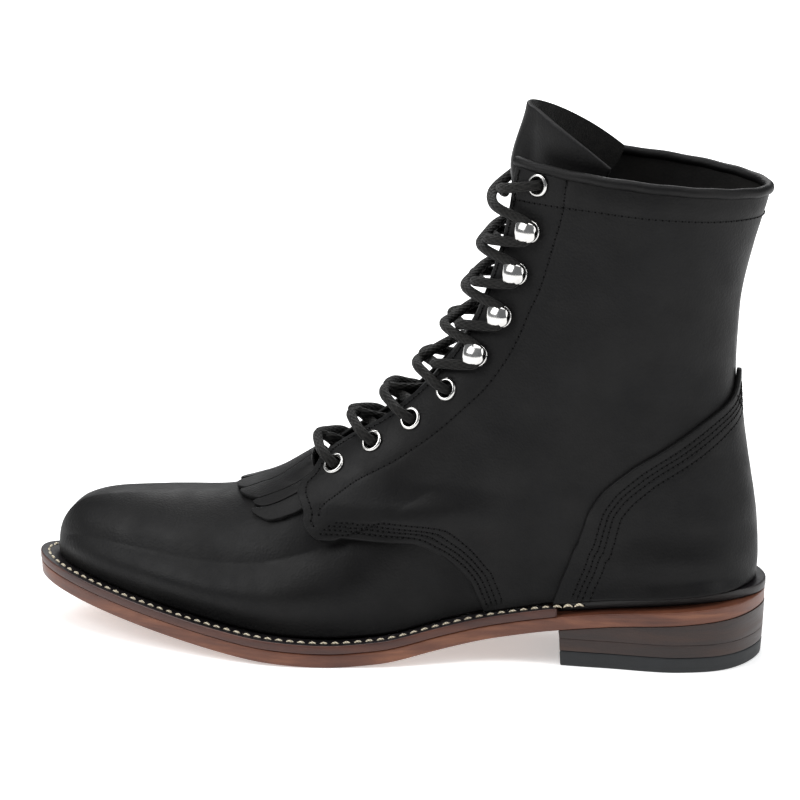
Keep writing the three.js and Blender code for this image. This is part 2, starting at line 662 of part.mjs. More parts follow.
function buildInsole() {
  const lift = SEAT;
  const insets = [INSOLE_INSET_TOE, INSOLE_INSET_HEEL];
  const top = (x) => weltTop(x) + lift + INSOLE_THICKNESS;
  add('insole', plate(SOLE_TOE_X, insets, top, (x) => weltTop(x) + lift, 18, 2), boardTan);
}

// Round bar along a path, with flat ends.
function rod(path, steps, radius, sides) {
  const shape = new THREE.Shape();
  for (let i = 0; i < sides; i += 1) {
    const angle = (2 * Math.PI * i) / sides;
    const point = [radius * Math.cos(angle), radius * Math.sin(angle)];
    if (i === 0) shape.moveTo(...point);
    else shape.lineTo(...point);
  }
  const along = { steps, extrudePath: path, bevelEnabled: false, curveSegments: 1 };
  return new THREE.ExtrudeGeometry(shape, along);
}

function buildBinding() {
  const edgeTurn = facingEdge(1)[0];
  const points = [];
  const count = 44;
  for (let i = 0; i <= count; i += 1) {
    const turn = mix(edgeTurn + 0.01, 2 - edgeTurn - 0.01, i / count);
    const lift = quarterLift(turn, 1) + LEATHER / 2;
    points.push(skin(turn, 1, lift).add(new THREE.Vector3(0, 0, BINDING_RADIUS + CLEARANCE + 0.1)));
  }
  add('collar_binding', rod(new THREE.CatmullRomCurve3(points), 40, BINDING_RADIUS, 7), blackLeather);
}

// Tongue: under the facings, rising above the collar, its wings lying inside the shaft.
const TONGUE_FLOOR = -7;
const tongueBase = ridgeLevelAt(-34.5);

function tongueTop(turn, level) {
  const middle = 1 - smooth(Math.abs(turn), 0.07, 0.16);
  const wings = TONGUE_FLOOR + 2 * smooth(level, 1, 1.06);
  const fill = 5.6 * smooth(level, 0.935, 1) + 1.4 * smooth(level, 1, 1.07);
  return wings + middle * (fill - 2 * smooth(level, 1, 1.06));
}

const tonguePlace = (a, b) => {
  const reach = 2 * a - 1;
  const half = mix(0.16, 0.37, smooth(b, 0.05, 0.75));
  const top = 1 + TONGUE_TOP_RISE * (1 - 0.75 * Math.abs(reach) ** 2.4);
  return [half * reach, mix(tongueBase, top, b)];
};

function buildTongue() {
  const under = (turn, level) => tongueTop(turn, level) - TONGUE_THICKNESS;
  add('tongue', leather(10, 14, tonguePlace, under, tongueTop), blackLeather);
}

// Kiltie: a fringed flap over the vamp, its sides tucked under the facings.
const KILTIE_HALF_TURN = 0.36;
const KILTIE_FRONT_X = -62;       // tip of the fringe on the ridge
const KILTIE_BACK_X = -33.5;      // hidden edge on the ridge, under the lowest lace

function kiltiePlace(a, b) {
  const turn = mix(-KILTIE_HALF_TURN, KILTIE_HALF_TURN, a);
  const spread = Math.abs(turn) / KILTIE_HALF_TURN;
  const frontLevel = mix(ridgeLevelAt(KILTIE_FRONT_X), 0.2, spread ** 1.6);
  const backLevel = mix(ridgeLevelAt(KILTIE_BACK_X), 0.34, spread ** 1.3);
  return [turn, mix(frontLevel, backLevel, b)];
}

function buildKiltie() {
  const under = 2 * LAYER_GAP;
  add('kiltie_fringe', leather(14, 6, kiltiePlace, under, under + LEATHER * 0.8), blackLeather);
}

// ---------------------------------------------------------------- hardware
const laceRadius = LACE_DIAMETER / 2;
const hookCentre = 2.6;           // the hook's stem stands this far ahead of its rivet
const facingBuild = LEATHER + STAY_GAP + STAY;

function eyelet() {
  const hole = EYELET_HOLE / 2;
  const barrel = EYELET_BARREL / 2;
  const depth = facingBuild - CLEARANCE;
  return lathe([[hole, -depth], [barrel, -depth], [barrel, 0], [EYELET_OUTER / 2, 0],
    [EYELET_OUTER / 2 - 0.5, EYELET_FLANGE], [hole + 0.3, EYELET_FLANGE], [hole, -depth]], 10);
}

// Speed hook: a disc riveted to the facing, a stem towards the throat and a hood over the lace.
function speedHook() {
  const room = LACE_DIAMETER + 2 * CLEARANCE;
  const top = HOOK_SHEET + room + HOOK_SHEET;
  const disc = cylinder(HOOK_BASE / 2, HOOK_SHEET, 12).translate(0, 0, HOOK_SHEET / 2);
  const rivetLength = facingBuild + CLEARANCE;
  const rivet = cylinder(HOOK_RIVET / 2, rivetLength + HOOK_SHEET / 2, 6)
    .translate(0, 0, HOOK_SHEET / 4 - rivetLength / 2);
  const stem = new THREE.BoxGeometry(HOOK_SHEET, HOOK_STEM_WIDTH, top).translate(hookCentre, 0, top / 2);
  const hood = new THREE.Shape();
  const front = hookCentre + HOOK_SHEET / 2;
  const roundCentre = front - HOOK_REACH + HOOK_WIDTH / 2;
  hood.moveTo(front, -HOOK_STEM_WIDTH / 2);
  hood.lineTo(front, HOOK_STEM_WIDTH / 2);
  hood.lineTo(roundCentre + 1, HOOK_WIDTH / 2);
  hood.absarc(roundCentre, 0, HOOK_WIDTH / 2, Math.PI / 2, 1.5 * Math.PI, false);
  hood.lineTo(roundCentre + 1, -HOOK_WIDTH / 2);
  const roof = new THREE.ExtrudeGeometry(hood, { depth: HOOK_SHEET, bevelEnabled: false, curveSegments: 6 })
    .translate(0, 0, top - HOOK_SHEET);
  return fromSolid([rivet, stem, roof].reduce((solid, piece) => solid.add(asSolid(piece)), asSolid(disc)));
}

function buildHardware() {
  for (const side of [-1, 1]) {
    const name = side < 0 ? 'lateral' : 'medial';
    const counts = { eyelet: 0, hook: 0 };
    for (const { kind, place: [turn, level] } of STATIONS) {
      counts[kind] += 1;
      const seat = seatOn(side * turn, level, quarterTop(side * turn, level) + 1.6 * CLEARANCE);
      const piece = kind === 'eyelet' ? eyelet() : speedHook();
      add(`${kind}_${name}_${counts[kind]}`, piece.applyMatrix4(seat), nickel);
    }
  }
}

// ---------------------------------------------------------------- lace
// A spot near a station: distances towards the throat, up the shaft and out of the leather.
function near(side, station, ahead, up, out) {
  const seat = seatOn(side * STATIONS[station].place[0], STATIONS[station].place[1], 0);
  const foot = new THREE.Vector3(ahead, up * side, 0).applyMatrix4(seat);
  const [turn, level] = placeAt(foot.x, foot.z);
  return skin(side * turn, level, quarterTop(side * turn, level) + out);
}

const underFacing = -(facingBuild + 2 * CLEARANCE + laceRadius);
const overFacing = CLEARANCE + laceRadius + 0.1;
const overFlange = 2.6 * CLEARANCE + EYELET_FLANGE + laceRadius;
const throughHook = 2 * CLEARANCE + HOOK_SHEET + laceRadius;

// Each step of a strand on its way up: off the lower station, over the tongue, onto the next.
function leave(side, station) {
  if (STATIONS[station].kind === 'hook') {
    return [near(side, station, hookCentre, 4.6, throughHook),
      near(side, station, 11.6, 6.4, overFacing + 1.7), near(side, station, 16.6, 7.4, 2.8)];
  }
  return [near(side, station, 0, 0, 0.3), near(side, station, 0.9, 0.3, 2.6),
    near(side, station, 3.4, 1.2, overFlange + 0.2), near(side, station, 7.8, 2.8, overFacing + 0.9),
    near(side, station, 12.2, 4.2, overFacing + 1.3), near(side, station, 16.6, 5.4, 1.3)];
}

function arrive(side, station) {
  if (STATIONS[station].kind === 'hook') {
    return [near(side, station, 16.6, -7.4, 3.5), near(side, station, 11.6, -6.4, overFacing + 1.9),
      near(side, station, hookCentre, -4.6, throughHook), near(side, station, -0.8, -3.3, throughHook),
      near(side, station, -2.1, 0, throughHook), near(side, station, -0.8, 3.3, throughHook)];
  }
  if (station === STATIONS.length - 1) {
    return [near(side, station, 16.6, -5.6, 1.2), near(side, station, 12.2, -4.2, overFacing + 1),
      near(side, station, 3.4, -1.2, overFlange), near(side, station, 0.9, -0.3, 2.6),
      near(side, station, 0, 0, 0.3), near(side, station, 0, 0, -2.4),
      near(side, station, -0.8, -0.4, -5), near(side, station, -3.6, -2, underFacing)];
  }
  return [near(side, station, 18.6, -6.4, underFacing + 0.2),
    near(side, station, 12.6, -4.4, underFacing - 0.3),
    near(side, station, 4, -1.5, underFacing), near(side, station, 0.8, -0.3, -5.4),
    near(side, station, 0, 0, -2.2)];
}

function crossing(station, over) {
  const level = (STATIONS[station].place[1] + STATIONS[station + 1].place[1]) / 2;
  const floor = tongueTop(0, level) + CLEARANCE + laceRadius;
  const byHook = STATIONS[station + 1].kind === 'hook' || STATIONS[station].kind === 'hook';
  const slack = byHook ? 2.6 : 1.8;
  const height = floor + slack + (over ? LACE_DIAMETER + CLEARANCE + 0.2 : 0);
  return skin(0, level, height);
}

// One half of the lace, from the bar between the lowest eyelets up to its tail inside the shaft.
function laceHalf(firstSide) {
  const points = [near(firstSide, 0, 12, 0, underFacing), near(firstSide, 0, 4, 0, underFacing),
    near(firstSide, 0, 0.8, 0, -5.4), near(firstSide, 0, 0, 0, -2.2)];
  let side = firstSide;
  for (let station = 0; station < STATIONS.length - 1; station += 1) {
    points.push(...leave(side, station), crossing(station, side < 0), ...arrive(-side, station + 1));
    side = -side;
  }
  const [turn, level] = STATIONS.at(-1).place;
  const tail = [[0.03, -0.05], [0.05, -0.13], [0.055, -0.22], [0.05, -0.31], [0.055, -0.4]];
  for (const [back, down] of tail) {
    points.push(skin(side * (turn + back), level + down, LAYER_GAP - CLEARANCE - laceRadius - STAY - 0.5));
  }
  return points;
}

const lowestBar = skin(0, STATIONS[0].place[1], TONGUE_FLOOR + 0.8 + laceRadius);
const lacePoints = [...laceHalf(-1).reverse(), lowestBar, ...laceHalf(1)];

// A round cord through given points, with a ring of corners at each sample.
function cord(points, samplesPerPoint, radius, sides) {
  const curve = new THREE.CatmullRomCurve3(points, false, 'centripetal');
  const count = Math.round((points.length - 1) * samplesPerPoint);
  const vertices = [];
  const faces = [];
  let across = new THREE.Vector3(0, 1, 0);
  for (let i = 0; i <= count; i += 1) {
    const share = i / count;
    const centre = curve.getPoint(share);
    const ahead = curve.getTangent(share);
    across = across.clone().addScaledVector(ahead, -across.dot(ahead)).normalize();
    const other = new THREE.Vector3().crossVectors(ahead, across);
    for (let j = 0; j < sides; j += 1) {
      const angle = (2 * Math.PI * j) / sides;
      vertices.push(centre.clone().addScaledVector(across, radius * Math.cos(angle))
        .addScaledVector(other, radius * Math.sin(angle)));
    }
  }
  const ring = (i, j) => i * sides + (j % sides);
  for (let i = 0; i < count; i += 1) {
    for (let j = 0; j < sides; j += 1) {
      faces.push([ring(i, j), ring(i + 1, j), ring(i + 1, j + 1)]);
      faces.push([ring(i, j), ring(i + 1, j + 1), ring(i, j + 1)]);
    }
  }
  for (let j = 1; j < sides - 1; j += 1) {
    faces.push([ring(0, 0), ring(0, j), ring(0, j + 1)]);
    faces.push([ring(count, 0), ring(count, j + 1), ring(count, j)]);
  }
  if (signedVolume(vertices, faces) < 0) faces.forEach((face) => face.reverse());
  return geometryFrom(vertices, faces);
}

function buildLace() {
  add('lace', cord(lacePoints, 1.6, laceRadius, 6), laceBlack);
}

buildSole();
buildHeel();
buildInsole();
buildVamp();
buildQuarters();
buildHeelUpper();
buildBinding();
buildTongue();
buildKiltie();
buildHardware();
buildLace();

// The origin lies under the middle of the boot.
const middle = new THREE.Box3().setFromObject(group).getCenter(new THREE.Vector3());
group.position.x -= middle.x;
group.position.y -= middle.y;

export default group;
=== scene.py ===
"""Looks of a black leather lace-up packer boot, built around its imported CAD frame.

The boot's surface is described in millimetres, as a designer would; every Blender object is in metres.
A place on the upper is a turn and a level. Turn 0 is the front ridge, -1..0 the outer side, 0..1 the
inner side and +-1 the back seam. Level 0 is the feather line at the welt and 1 is the collar.
"""
import math

import bpy
import numpy as np
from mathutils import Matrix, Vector
from mathutils.kdtree import KDTree


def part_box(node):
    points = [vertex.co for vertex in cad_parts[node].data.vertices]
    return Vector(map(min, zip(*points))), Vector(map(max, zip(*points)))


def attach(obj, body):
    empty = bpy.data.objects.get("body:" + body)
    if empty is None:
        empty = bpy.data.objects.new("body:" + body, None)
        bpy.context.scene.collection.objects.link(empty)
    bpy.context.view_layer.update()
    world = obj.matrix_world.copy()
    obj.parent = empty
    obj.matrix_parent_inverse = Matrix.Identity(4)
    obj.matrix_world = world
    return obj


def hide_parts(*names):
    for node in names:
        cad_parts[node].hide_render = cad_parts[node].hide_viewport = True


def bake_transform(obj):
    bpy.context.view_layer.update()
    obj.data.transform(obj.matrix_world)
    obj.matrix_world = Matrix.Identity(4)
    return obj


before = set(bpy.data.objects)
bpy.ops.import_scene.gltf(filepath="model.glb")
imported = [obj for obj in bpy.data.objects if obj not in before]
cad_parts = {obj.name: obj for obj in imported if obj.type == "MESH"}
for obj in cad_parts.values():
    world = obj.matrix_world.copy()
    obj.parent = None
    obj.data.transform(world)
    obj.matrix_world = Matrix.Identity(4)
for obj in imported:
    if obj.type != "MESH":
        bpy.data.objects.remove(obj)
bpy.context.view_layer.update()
scene = bpy.context.scene

# ---- driving sizes, millimetres
SOLE_LENGTH = 312
SOLE_TOE_X = -156
WELT_THICKNESS = 3.5
WELT_WIDTH = 15
WELT_MARGIN_TOE = 8.5
WELT_MARGIN_HEEL = 9.7
OUTSOLE_THICKNESS = 5.7
SOLE_SEAT = 0.5
INSOLE_THICKNESS = 3.2
INSOLE_INSET = 22
HEEL_BREAST_X = 73.5
HEEL_CAP_THICKNESS = 6.5
HEEL_LIFT_THICKNESS = 5
LEATHER = 2
LAYER_GAP = 0.7
STIFFENER = 1.6
LINING = 1.2
TONGUE_THICKNESS = 2.2
TONGUE_TOP_RISE = 0.075
BINDING_RADIUS = 2.1
FACING_FRONT = 15
LACE_RADIUS = 2.1
EYELET_OUTER = 4.8
EYELET_HOLE = 3.1
CLEARANCE = 0.3


# ---- small helpers
def mix(a, b, s):
    return a + (b - a) * s


def smooth(x, start, end):
    s = np.clip((np.asarray(x, float) - start) / (end - start), 0, 1)
    return s * s * (3 - 2 * s)


def through(rows, column=1):
    """A smooth curve through [position, value, ...] rows, which goes straight on past both ends."""
    xs = np.array([row[0] for row in rows], float)
    ys = np.array([row[column] for row in rows], float)
    slopes = np.diff(ys) / np.diff(xs)
    tangents = np.concatenate([slopes[:1], slopes])
    for i in range(1, len(rows) - 1):
        before, after = slopes[i - 1], slopes[i]
        tangents[i] = 0 if before * after <= 0 else 2 * before * after / (before + after)

    def at(x):
        x = np.asarray(x, float)
        i = np.clip(np.searchsorted(xs, x, side="right") - 1, 0, len(xs) - 2)
        h = xs[i + 1] - xs[i]
        s = (x - xs[i]) / h
        y = ((1 + 2 * s) * (1 - s) ** 2 * ys[i] + s * (1 - s) ** 2 * h * tangents[i]
             + s * s * (3 - 2 * s) * ys[i + 1] + s * s * (s - 1) * h * tangents[i + 1])
        y = np.where(x <= xs[0], ys[0] + tangents[0] * (x - xs[0]), y)
        return np.where(x >= xs[-1], ys[-1] + tangents[-1] * (x - xs[-1]), y)

    return at


# ---- the sole's plan and heights
def along(turn):
    return (1 - np.cos(np.pi * turn)) / 2


def turn_at(share):
    return np.arccos(1 - 2 * np.clip(share, 0, 1)) / np.pi


centre_line = through([[-160, 11.5], [-120, 8.5], [-60, 5], [0, 2.2], [60, 0.2], [160, 0]])
sole_outer = through([[0, 54], [0.1, 53], [0.2, 54], [0.3, 57], [0.4, 60.2], [0.5, 51], [0.6, 35.6],
                      [0.7, 43.5], [0.8, 61], [0.9, 74], [1, 64]])
sole_inner = through([[0, 52], [0.1, 48], [0.2, 47], [0.3, 54.5], [0.4, 51], [0.5, 38], [0.6, 29.5],
                      [0.7, 40.5], [0.8, 61], [0.9, 74], [1, 64]])
welt_top = through([[-156, 28.6], [-140, 25.2], [-110, 19.6], [-70, 13.6], [-45, 10.9], [-20, 9.9],
                    [0, 11.2], [24, 15.9], [49, 20.7], [73, 25], [98, 28.2], [129, 30.6], [156, 32.6]])


def welt_bottom(x):
    return welt_top(x) - WELT_THICKNESS


def outsole_top(x):
    return welt_bottom(x) - SOLE_SEAT


def outsole_bottom(x):
    return outsole_top(x) - OUTSOLE_THICKNESS


LOWEST_OUTSOLE_X = -20
GROUND = float(outsole_bottom(LOWEST_OUTSOLE_X))


def by_side(turn, outer, inner):
    u = np.abs(turn)
    return np.where(np.asarray(turn) < 0, outer(u), inner(u))


def sole_plan(turn, inset=0.0):
    u = np.abs(turn)
    fullness = by_side(turn, sole_outer, sole_inner) - inset
    x = SOLE_TOE_X + inset + (SOLE_LENGTH - 2 * inset) * along(u)
    return x, centre_line(x) + np.sign(turn) * np.sin(np.pi * u) * fullness


feather_margin = through([[0, 5], [0.15, 6], [0.3, 7.5], [0.45, 8], [0.6, 8], [0.7, 11], [0.8, 13.5],
                          [0.9, 15.5], [1, 15]])
FEATHER_TOE_X = SOLE_TOE_X + WELT_MARGIN_TOE
FEATHER_HEEL_X = SOLE_TOE_X + SOLE_LENGTH - WELT_MARGIN_HEEL


def feather_half_width(u, side):
    fullness = np.where(side < 0, sole_outer(u), sole_inner(u))
    return np.sin(np.pi * u) * (fullness - feather_margin(u))


# ---- the surface of the upper
FRONT_RIDGE = [
    [0, FEATHER_TOE_X, 29], [0.06, -147.6, 35], [0.11, -145.8, 41.5], [0.16, -141, 49],
    [0.21, -134.5, 53.6], [0.27, -122, 57], [0.33, -102, 58.6], [0.39, -79, 59.8],
    [0.46, -55, 65.5], [0.52, -35.5, 76], [0.58, -17.5, 89], [0.65, -1, 103.5],
    [0.72, 15.5, 121], [0.8, 30.5, 145], [0.9, 41.5, 176], [1, 47, 207],
]
BACK_SEAM = [
    [0, FEATHER_HEEL_X, 33], [0.08, 146.6, 36.5], [0.16, 147, 40.5], [0.22, 147.2, 44],
    [0.28, 147.3, 48], [0.34, 147.2, 53], [0.4, 146.8, 59], [0.46, 145.9, 66], [0.52, 144.4, 75],
    [0.58, 142.4, 87], [0.65, 140.2, 104], [0.72, 139.2, 124], [0.8, 140.2, 146], [0.9, 145, 172],
    [1, 151.8, 195.5],
]
ridge_x, ridge_z = through(FRONT_RIDGE, 1), through(FRONT_RIDGE, 2)
seam_x, seam_z = through(BACK_SEAM, 1), through(BACK_SEAM, 2)
SHAFT_ROWS = [
    [0.2, through([[0, 45], [0.4, 43], [0.5, 38], [0.6, 27.5], [0.7, 31], [0.8, 43], [0.9, 50], [1, 48]])],
    [0.4, through([[0, 50], [0.4, 42], [0.5, 35], [0.6, 29], [0.7, 31], [0.8, 38], [0.9, 43], [1, 44]])],
    [0.52, through([[0, 55], [0.2, 50], [0.4, 36], [0.6, 30.5], [0.7, 31.5], [0.8, 36], [1, 40]])],
    [0.65, through([[0, 49], [0.2, 44], [0.4, 34], [0.6, 30.5], [0.8, 33], [1, 36]])],
    [0.8, through([[0, 38], [0.2, 36.5], [0.4, 34.5], [0.6, 33.5], [0.8, 34.5], [1, 35]])],
    [1, through([[0, 34.5], [0.2, 34.5], [0.4, 35.5], [0.6, 36], [0.8, 35.5], [1, 34]])],
]
LOWER_FADE = 0.45                 # the sole line's curve has faded out at this level
FOREFOOT_POWER = through([[-147, 2.4], [-60, 2.8], [-20, 3.2], [40, 3.2]])
FOREFOOT_TAPER = through([[-147, 0.02], [-90, 0.04], [-60, 0.1], [-20, 0.26], [40, 0.3]])


def shaft_fullness(u, level):
    u, level = np.broadcast_arrays(np.asarray(u, float), np.asarray(level, float))
    values = [row[1](u) for row in SHAFT_ROWS]
    total = values[0]
    for i in range(len(SHAFT_ROWS) - 1):
        total = total + (values[i + 1] - values[i]) * smooth(level, SHAFT_ROWS[i][0], SHAFT_ROWS[i + 1][0])
    return total


def bisect(test, shape, low=0.0, high=1.1, steps=34):
    """The largest value, in each place, at which test still holds."""
    low = np.full(shape, low)
    high = np.full(shape, high)
    for _ in range(steps):
        middle = (low + high) / 2
        below = test(middle)
        low = np.where(below, middle, low)
        high = np.where(below, high, middle)
    return low


RIDGE_TABLE_X = np.linspace(-150, 60, 1600)
RIDGE_TABLE = bisect(lambda level: ridge_x(level) < RIDGE_TABLE_X, RIDGE_TABLE_X.shape)


def ridge_level_at(x):
    return np.interp(x, RIDGE_TABLE_X, RIDGE_TABLE)


def side_elevation(u, level):
    share = along(u)
    x = mix(ridge_x(level), seam_x(level), share)
    sag = welt_top(x) + SOLE_SEAT - mix(ridge_z(0), seam_z(0), share)
    fade = np.maximum(0, 1 - np.maximum(0, level) / LOWER_FADE) ** 2
    return x, mix(ridge_z(level), seam_z(level), share) + sag * fade


RIDGE_END = float(ridge_x(1.09))


def half_width(u, level, side):
    x, z = side_elevation(u, level)
    base = feather_half_width(turn_at((x - FEATHER_TOE_X) / (FEATHER_HEEL_X - FEATHER_TOE_X)), side)
    ridge = ridge_z(ridge_level_at(np.minimum(x, RIDGE_END)))
    bottom = welt_top(x) + SOLE_SEAT
    rise = np.clip((z - bottom) / np.maximum(1, ridge - bottom), 0, 1)
    crown = np.sqrt(np.maximum(0, 1 - rise ** FOREFOOT_POWER(x)))
    bulge = 1 + 0.14 * np.sin(np.pi * np.clip(rise / 0.5, 0, 1))
    forefoot = base * bulge * (1 - FOREFOOT_TAPER(x) * rise) * crown
    shaft = np.sin(np.pi * u) * shaft_fullness(u, level)
    width = mix(forefoot, shaft, smooth(x, -25, 55))
    on_feather = np.maximum(0, 1 - np.maximum(0, level) / 0.14) ** 2
    return mix(width, feather_half_width(u, side), on_feather)


def surface(turn, level):
    turn, level = np.broadcast_arrays(np.asarray(turn, float), np.asarray(level, float))
    turn = np.where(turn > 1, turn - 2, np.where(turn < -1, turn + 2, turn))
    u = np.abs(turn)
    side = np.where(turn < 0, -1.0, 1.0)
    x, z = side_elevation(u, level)
    y = centre_line(x) * (1 - smooth(level, 0.3, 0.7)) + side * half_width(u, level, side)
    return np.stack([x, y, z], -1)


def unit(v):
    return v / np.maximum(1e-9, np.linalg.norm(v, axis=-1, keepdims=True))


def normal_at(turn, level):
    step = 0.004
    across = surface(turn + step, level) - surface(turn - step, level)
    up = surface(turn, level + step) - surface(turn, level - step)
    normal = np.cross(up, across)
    normal[..., 2] *= smooth(level, 0, 0.05)
    return unit(normal)


def skin(turn, level, offset):
    turn, level = np.asarray(turn, float), np.asarray(level, float)
    return surface(turn, level) + normal_at(turn, level) * np.asarray(offset, float)[..., None]


def place_at(x, z):
    """Turn and level of the place on the outer side seen at x, z in side elevation."""
    x, z = np.asarray(x, float), np.asarray(z, float)

    def turn_on(level):
        return turn_at((x - ridge_x(level)) / (seam_x(level) - ridge_x(level)))

    level = bisect(lambda middle: side_elevation(turn_on(middle), middle)[1] < z, x.shape)
    return turn_on(level), level


# ---- from the boot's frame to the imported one
OUTSOLE_STATIONS = 22
station_turns = np.arange(OUTSOLE_STATIONS + 1) / OUTSOLE_STATIONS
shift = np.array([
    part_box("outsole")[0].x * 1000 - SOLE_TOE_X,
    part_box("outsole")[0].y * 1000 - float(sole_plan(-station_turns)[1].min()),
    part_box("heel_cap")[0].z * 1000 - GROUND,
])


def metres(points):
    return (np.asarray(points, float) + shift) / 1000


# ---- camera, light and floor
CAMERA_DISTANCE = 1.5
CAMERA_AZIMUTH = math.radians(9.25)
CAMERA_ELEVATION = math.radians(14)
CAMERA_TARGET = Vector((0.0023, 0, 0.1018))


def toward(azimuth, elevation):
    return Vector((math.sin(azimuth) * math.cos(elevation), -math.cos(azimuth) * math.cos(elevation),
                   math.sin(elevation)))


def make_camera():
    data = bpy.data.cameras.new("camera")
    data.sensor_width = 36
    data.lens = 161.9
    data.clip_end = 50
    camera = bpy.data.objects.new("camera", data)
    back = toward(CAMERA_AZIMUTH, CAMERA_ELEVATION)
    camera.location = CAMERA_TARGET + back * CAMERA_DISTANCE
    camera.rotation_mode = "QUATERNION"
    camera.rotation_quaternion = (-back).to_track_quat("-Z", "Y")
    scene.collection.objects.link(camera)
    scene.camera = camera


def softbox(name, azimuth, elevation, distance, size, power, color=(1, 1, 1)):
    """An area light that faces the boot; angles in degrees, distance and size in metres."""
    data = bpy.data.lights.new(name, "AREA")
    data.shape = "RECTANGLE"
    data.size, data.size_y = size
    data.energy = power
    data.color = color
    light = bpy.data.objects.new(name, data)
    back = toward(math.radians(azimuth), math.radians(elevation))
    light.location = Vector((0, 0, 0.1)) + back * distance
    light.rotation_mode = "QUATERNION"
    light.rotation_quaternion = (-back).to_track_quat("-Z", "Y")
    scene.collection.objects.link(light)


def make_studio():
    scene.view_settings.view_transform = "Standard"
    world = bpy.data.worlds.new("studio")
    world.use_nodes = True
    background = world.node_tree.nodes["Background"]
    background.inputs["Color"].default_value = (0.93, 0.96, 1, 1)
    background.inputs["Strength"].default_value = 0.22
    scene.world = world
    softbox("overhead", 0, 88, 1.6, (1.6, 1.2), 20)
    softbox("toe_side", -62, 38, 1.5, (0.9, 0.9), 12)
    softbox("heel_side", 75, 25, 1.6, (0.5, 1.1), 7)
    softbox("back_side", 190, 35, 1.8, (1.2, 0.8), 12)


# ---- materials
class Shader:
    """A node material: its own nodes in front of one Principled shader."""

    def __init__(self, name, roughness=0.5, metallic=0.0, specular=0.5, sheen=0.0):
        self.material = bpy.data.materials.new(name)
        self.material.use_nodes = True
        self.tree = self.material.node_tree
        self.shader = self.tree.nodes["Principled BSDF"]
        self.shader.inputs["Roughness"].default_value = roughness
        self.shader.inputs["Metallic"].default_value = metallic
        self.shader.inputs["Specular IOR Level"].default_value = specular
        self.shader.inputs["Sheen Weight"].default_value = sheen
        self.shader.inputs["Sheen Roughness"].default_value = 0.5
        self.coordinates = self.node("ShaderNodeTexCoord")

    def node(self, kind, inputs=None, **settings):
        made = self.tree.nodes.new(kind)
        for key, value in settings.items():
            setattr(made, key, value)
        for key, value in (inputs or {}).items():
            if isinstance(value, bpy.types.NodeSocket):
                self.tree.links.new(value, made.inputs[key])
            else:
                made.inputs[key].default_value = value
        return made

    def space(self, scale=(1, 1, 1)):
        """Coordinates in metres, stretched by scale."""
        return self.node("ShaderNodeMapping", {"Vector": self.coordinates.outputs["Object"],
                                               "Scale": scale}).outputs["Vector"]

    def noise(self, scale, detail=3.0, roughness=0.5, stretch=(1, 1, 1), distortion=0.0):
        return self.node("ShaderNodeTexNoise", {"Vector": self.space(stretch), "Scale": scale,
                                                "Detail": detail, "Roughness": roughness,
                                                "Distortion": distortion}).outputs["Fac"]

    def cells(self, scale, feature="F1"):
        return self.node("ShaderNodeTexVoronoi", {"Vector": self.space(), "Scale": scale},
                         feature=feature).outputs["Distance"]

    def remap(self, value, low, high, to_low, to_high):
        return self.node("ShaderNodeMapRange", {"Value": value, "From Min": low, "From Max": high,
                                                "To Min": to_low, "To Max": to_high}).outputs["Result"]

    def math(self, operation, a, b=0.0):
        return self.node("ShaderNodeMath", {0: a, 1: b}, operation=operation).outputs[0]

    def weigh(self, a, b, share):
        """That share of a, and the rest of b."""
        return self.math("ADD", self.math("MULTIPLY", a, share), self.math("MULTIPLY", b, 1 - share))

    def ramp(self, value, stops):
        made = self.node("ShaderNodeValToRGB", {"Fac": value})
        elements = made.color_ramp.elements
        while len(elements) < len(stops):
            elements.new(0.5)
        for element, (position, color) in zip(elements, stops):
            element.position = position
            element.color = (*color, 1)
        return made.outputs["Color"]

    def bump(self, height, strength, distance, under=None):
        inputs = {"Height": height, "Strength": strength, "Distance": distance}
        if under is not None:
            inputs["Normal"] = under
        return self.node("ShaderNodeBump", inputs).outputs["Normal"]

    def finish(self, color=None, roughness=None, normal=None):
        for key, value in (("Base Color", color), ("Roughness", roughness), ("Normal", normal)):
            if isinstance(value, bpy.types.NodeSocket):
                self.tree.links.new(value, self.shader.inputs[key])
            elif value is not None:
                self.shader.inputs[key].default_value = value
        return self.material


def leather_material(name, dark, light, rough=(0.42, 0.6), grain=0.7, specular=0.17):
    """Oiled, full-grain leather: fine pebble, pores, soft blotches of wax."""
    s = Shader(name, specular=specular)
    blotch = s.noise(38, 4, 0.6)
    fine = s.noise(900, 3, 0.55)
    pebble = s.cells(1150, feature="SMOOTH_F1")
    color = s.ramp(s.weigh(blotch, fine, 0.75), [(0.34, dark), (0.7, light)])
    roughness = s.remap(s.noise(60, 5, 0.6), 0.3, 0.72, *rough)
    creases = s.noise(150, 4, 0.6, stretch=(1, 1, 0.45))
    normal = s.bump(creases, 0.10 * grain, 0.0012)
    normal = s.bump(pebble, 0.5 * grain, 0.00028, normal)
    normal = s.bump(fine, 0.55 * grain, 0.0002, normal)
    return s.finish(color, roughness, normal)


def suede_material(name, dark, light):
    """The fibrous flesh side of leather."""
    s = Shader(name, roughness=0.95, specular=0.15, sheen=0.25)
    fibre = s.noise(1400, 4, 0.7)
    return s.finish(s.ramp(s.noise(300, 4, 0.7), [(0.3, dark), (0.75, light)]), None,
                    s.bump(fibre, 0.8, 0.0006))


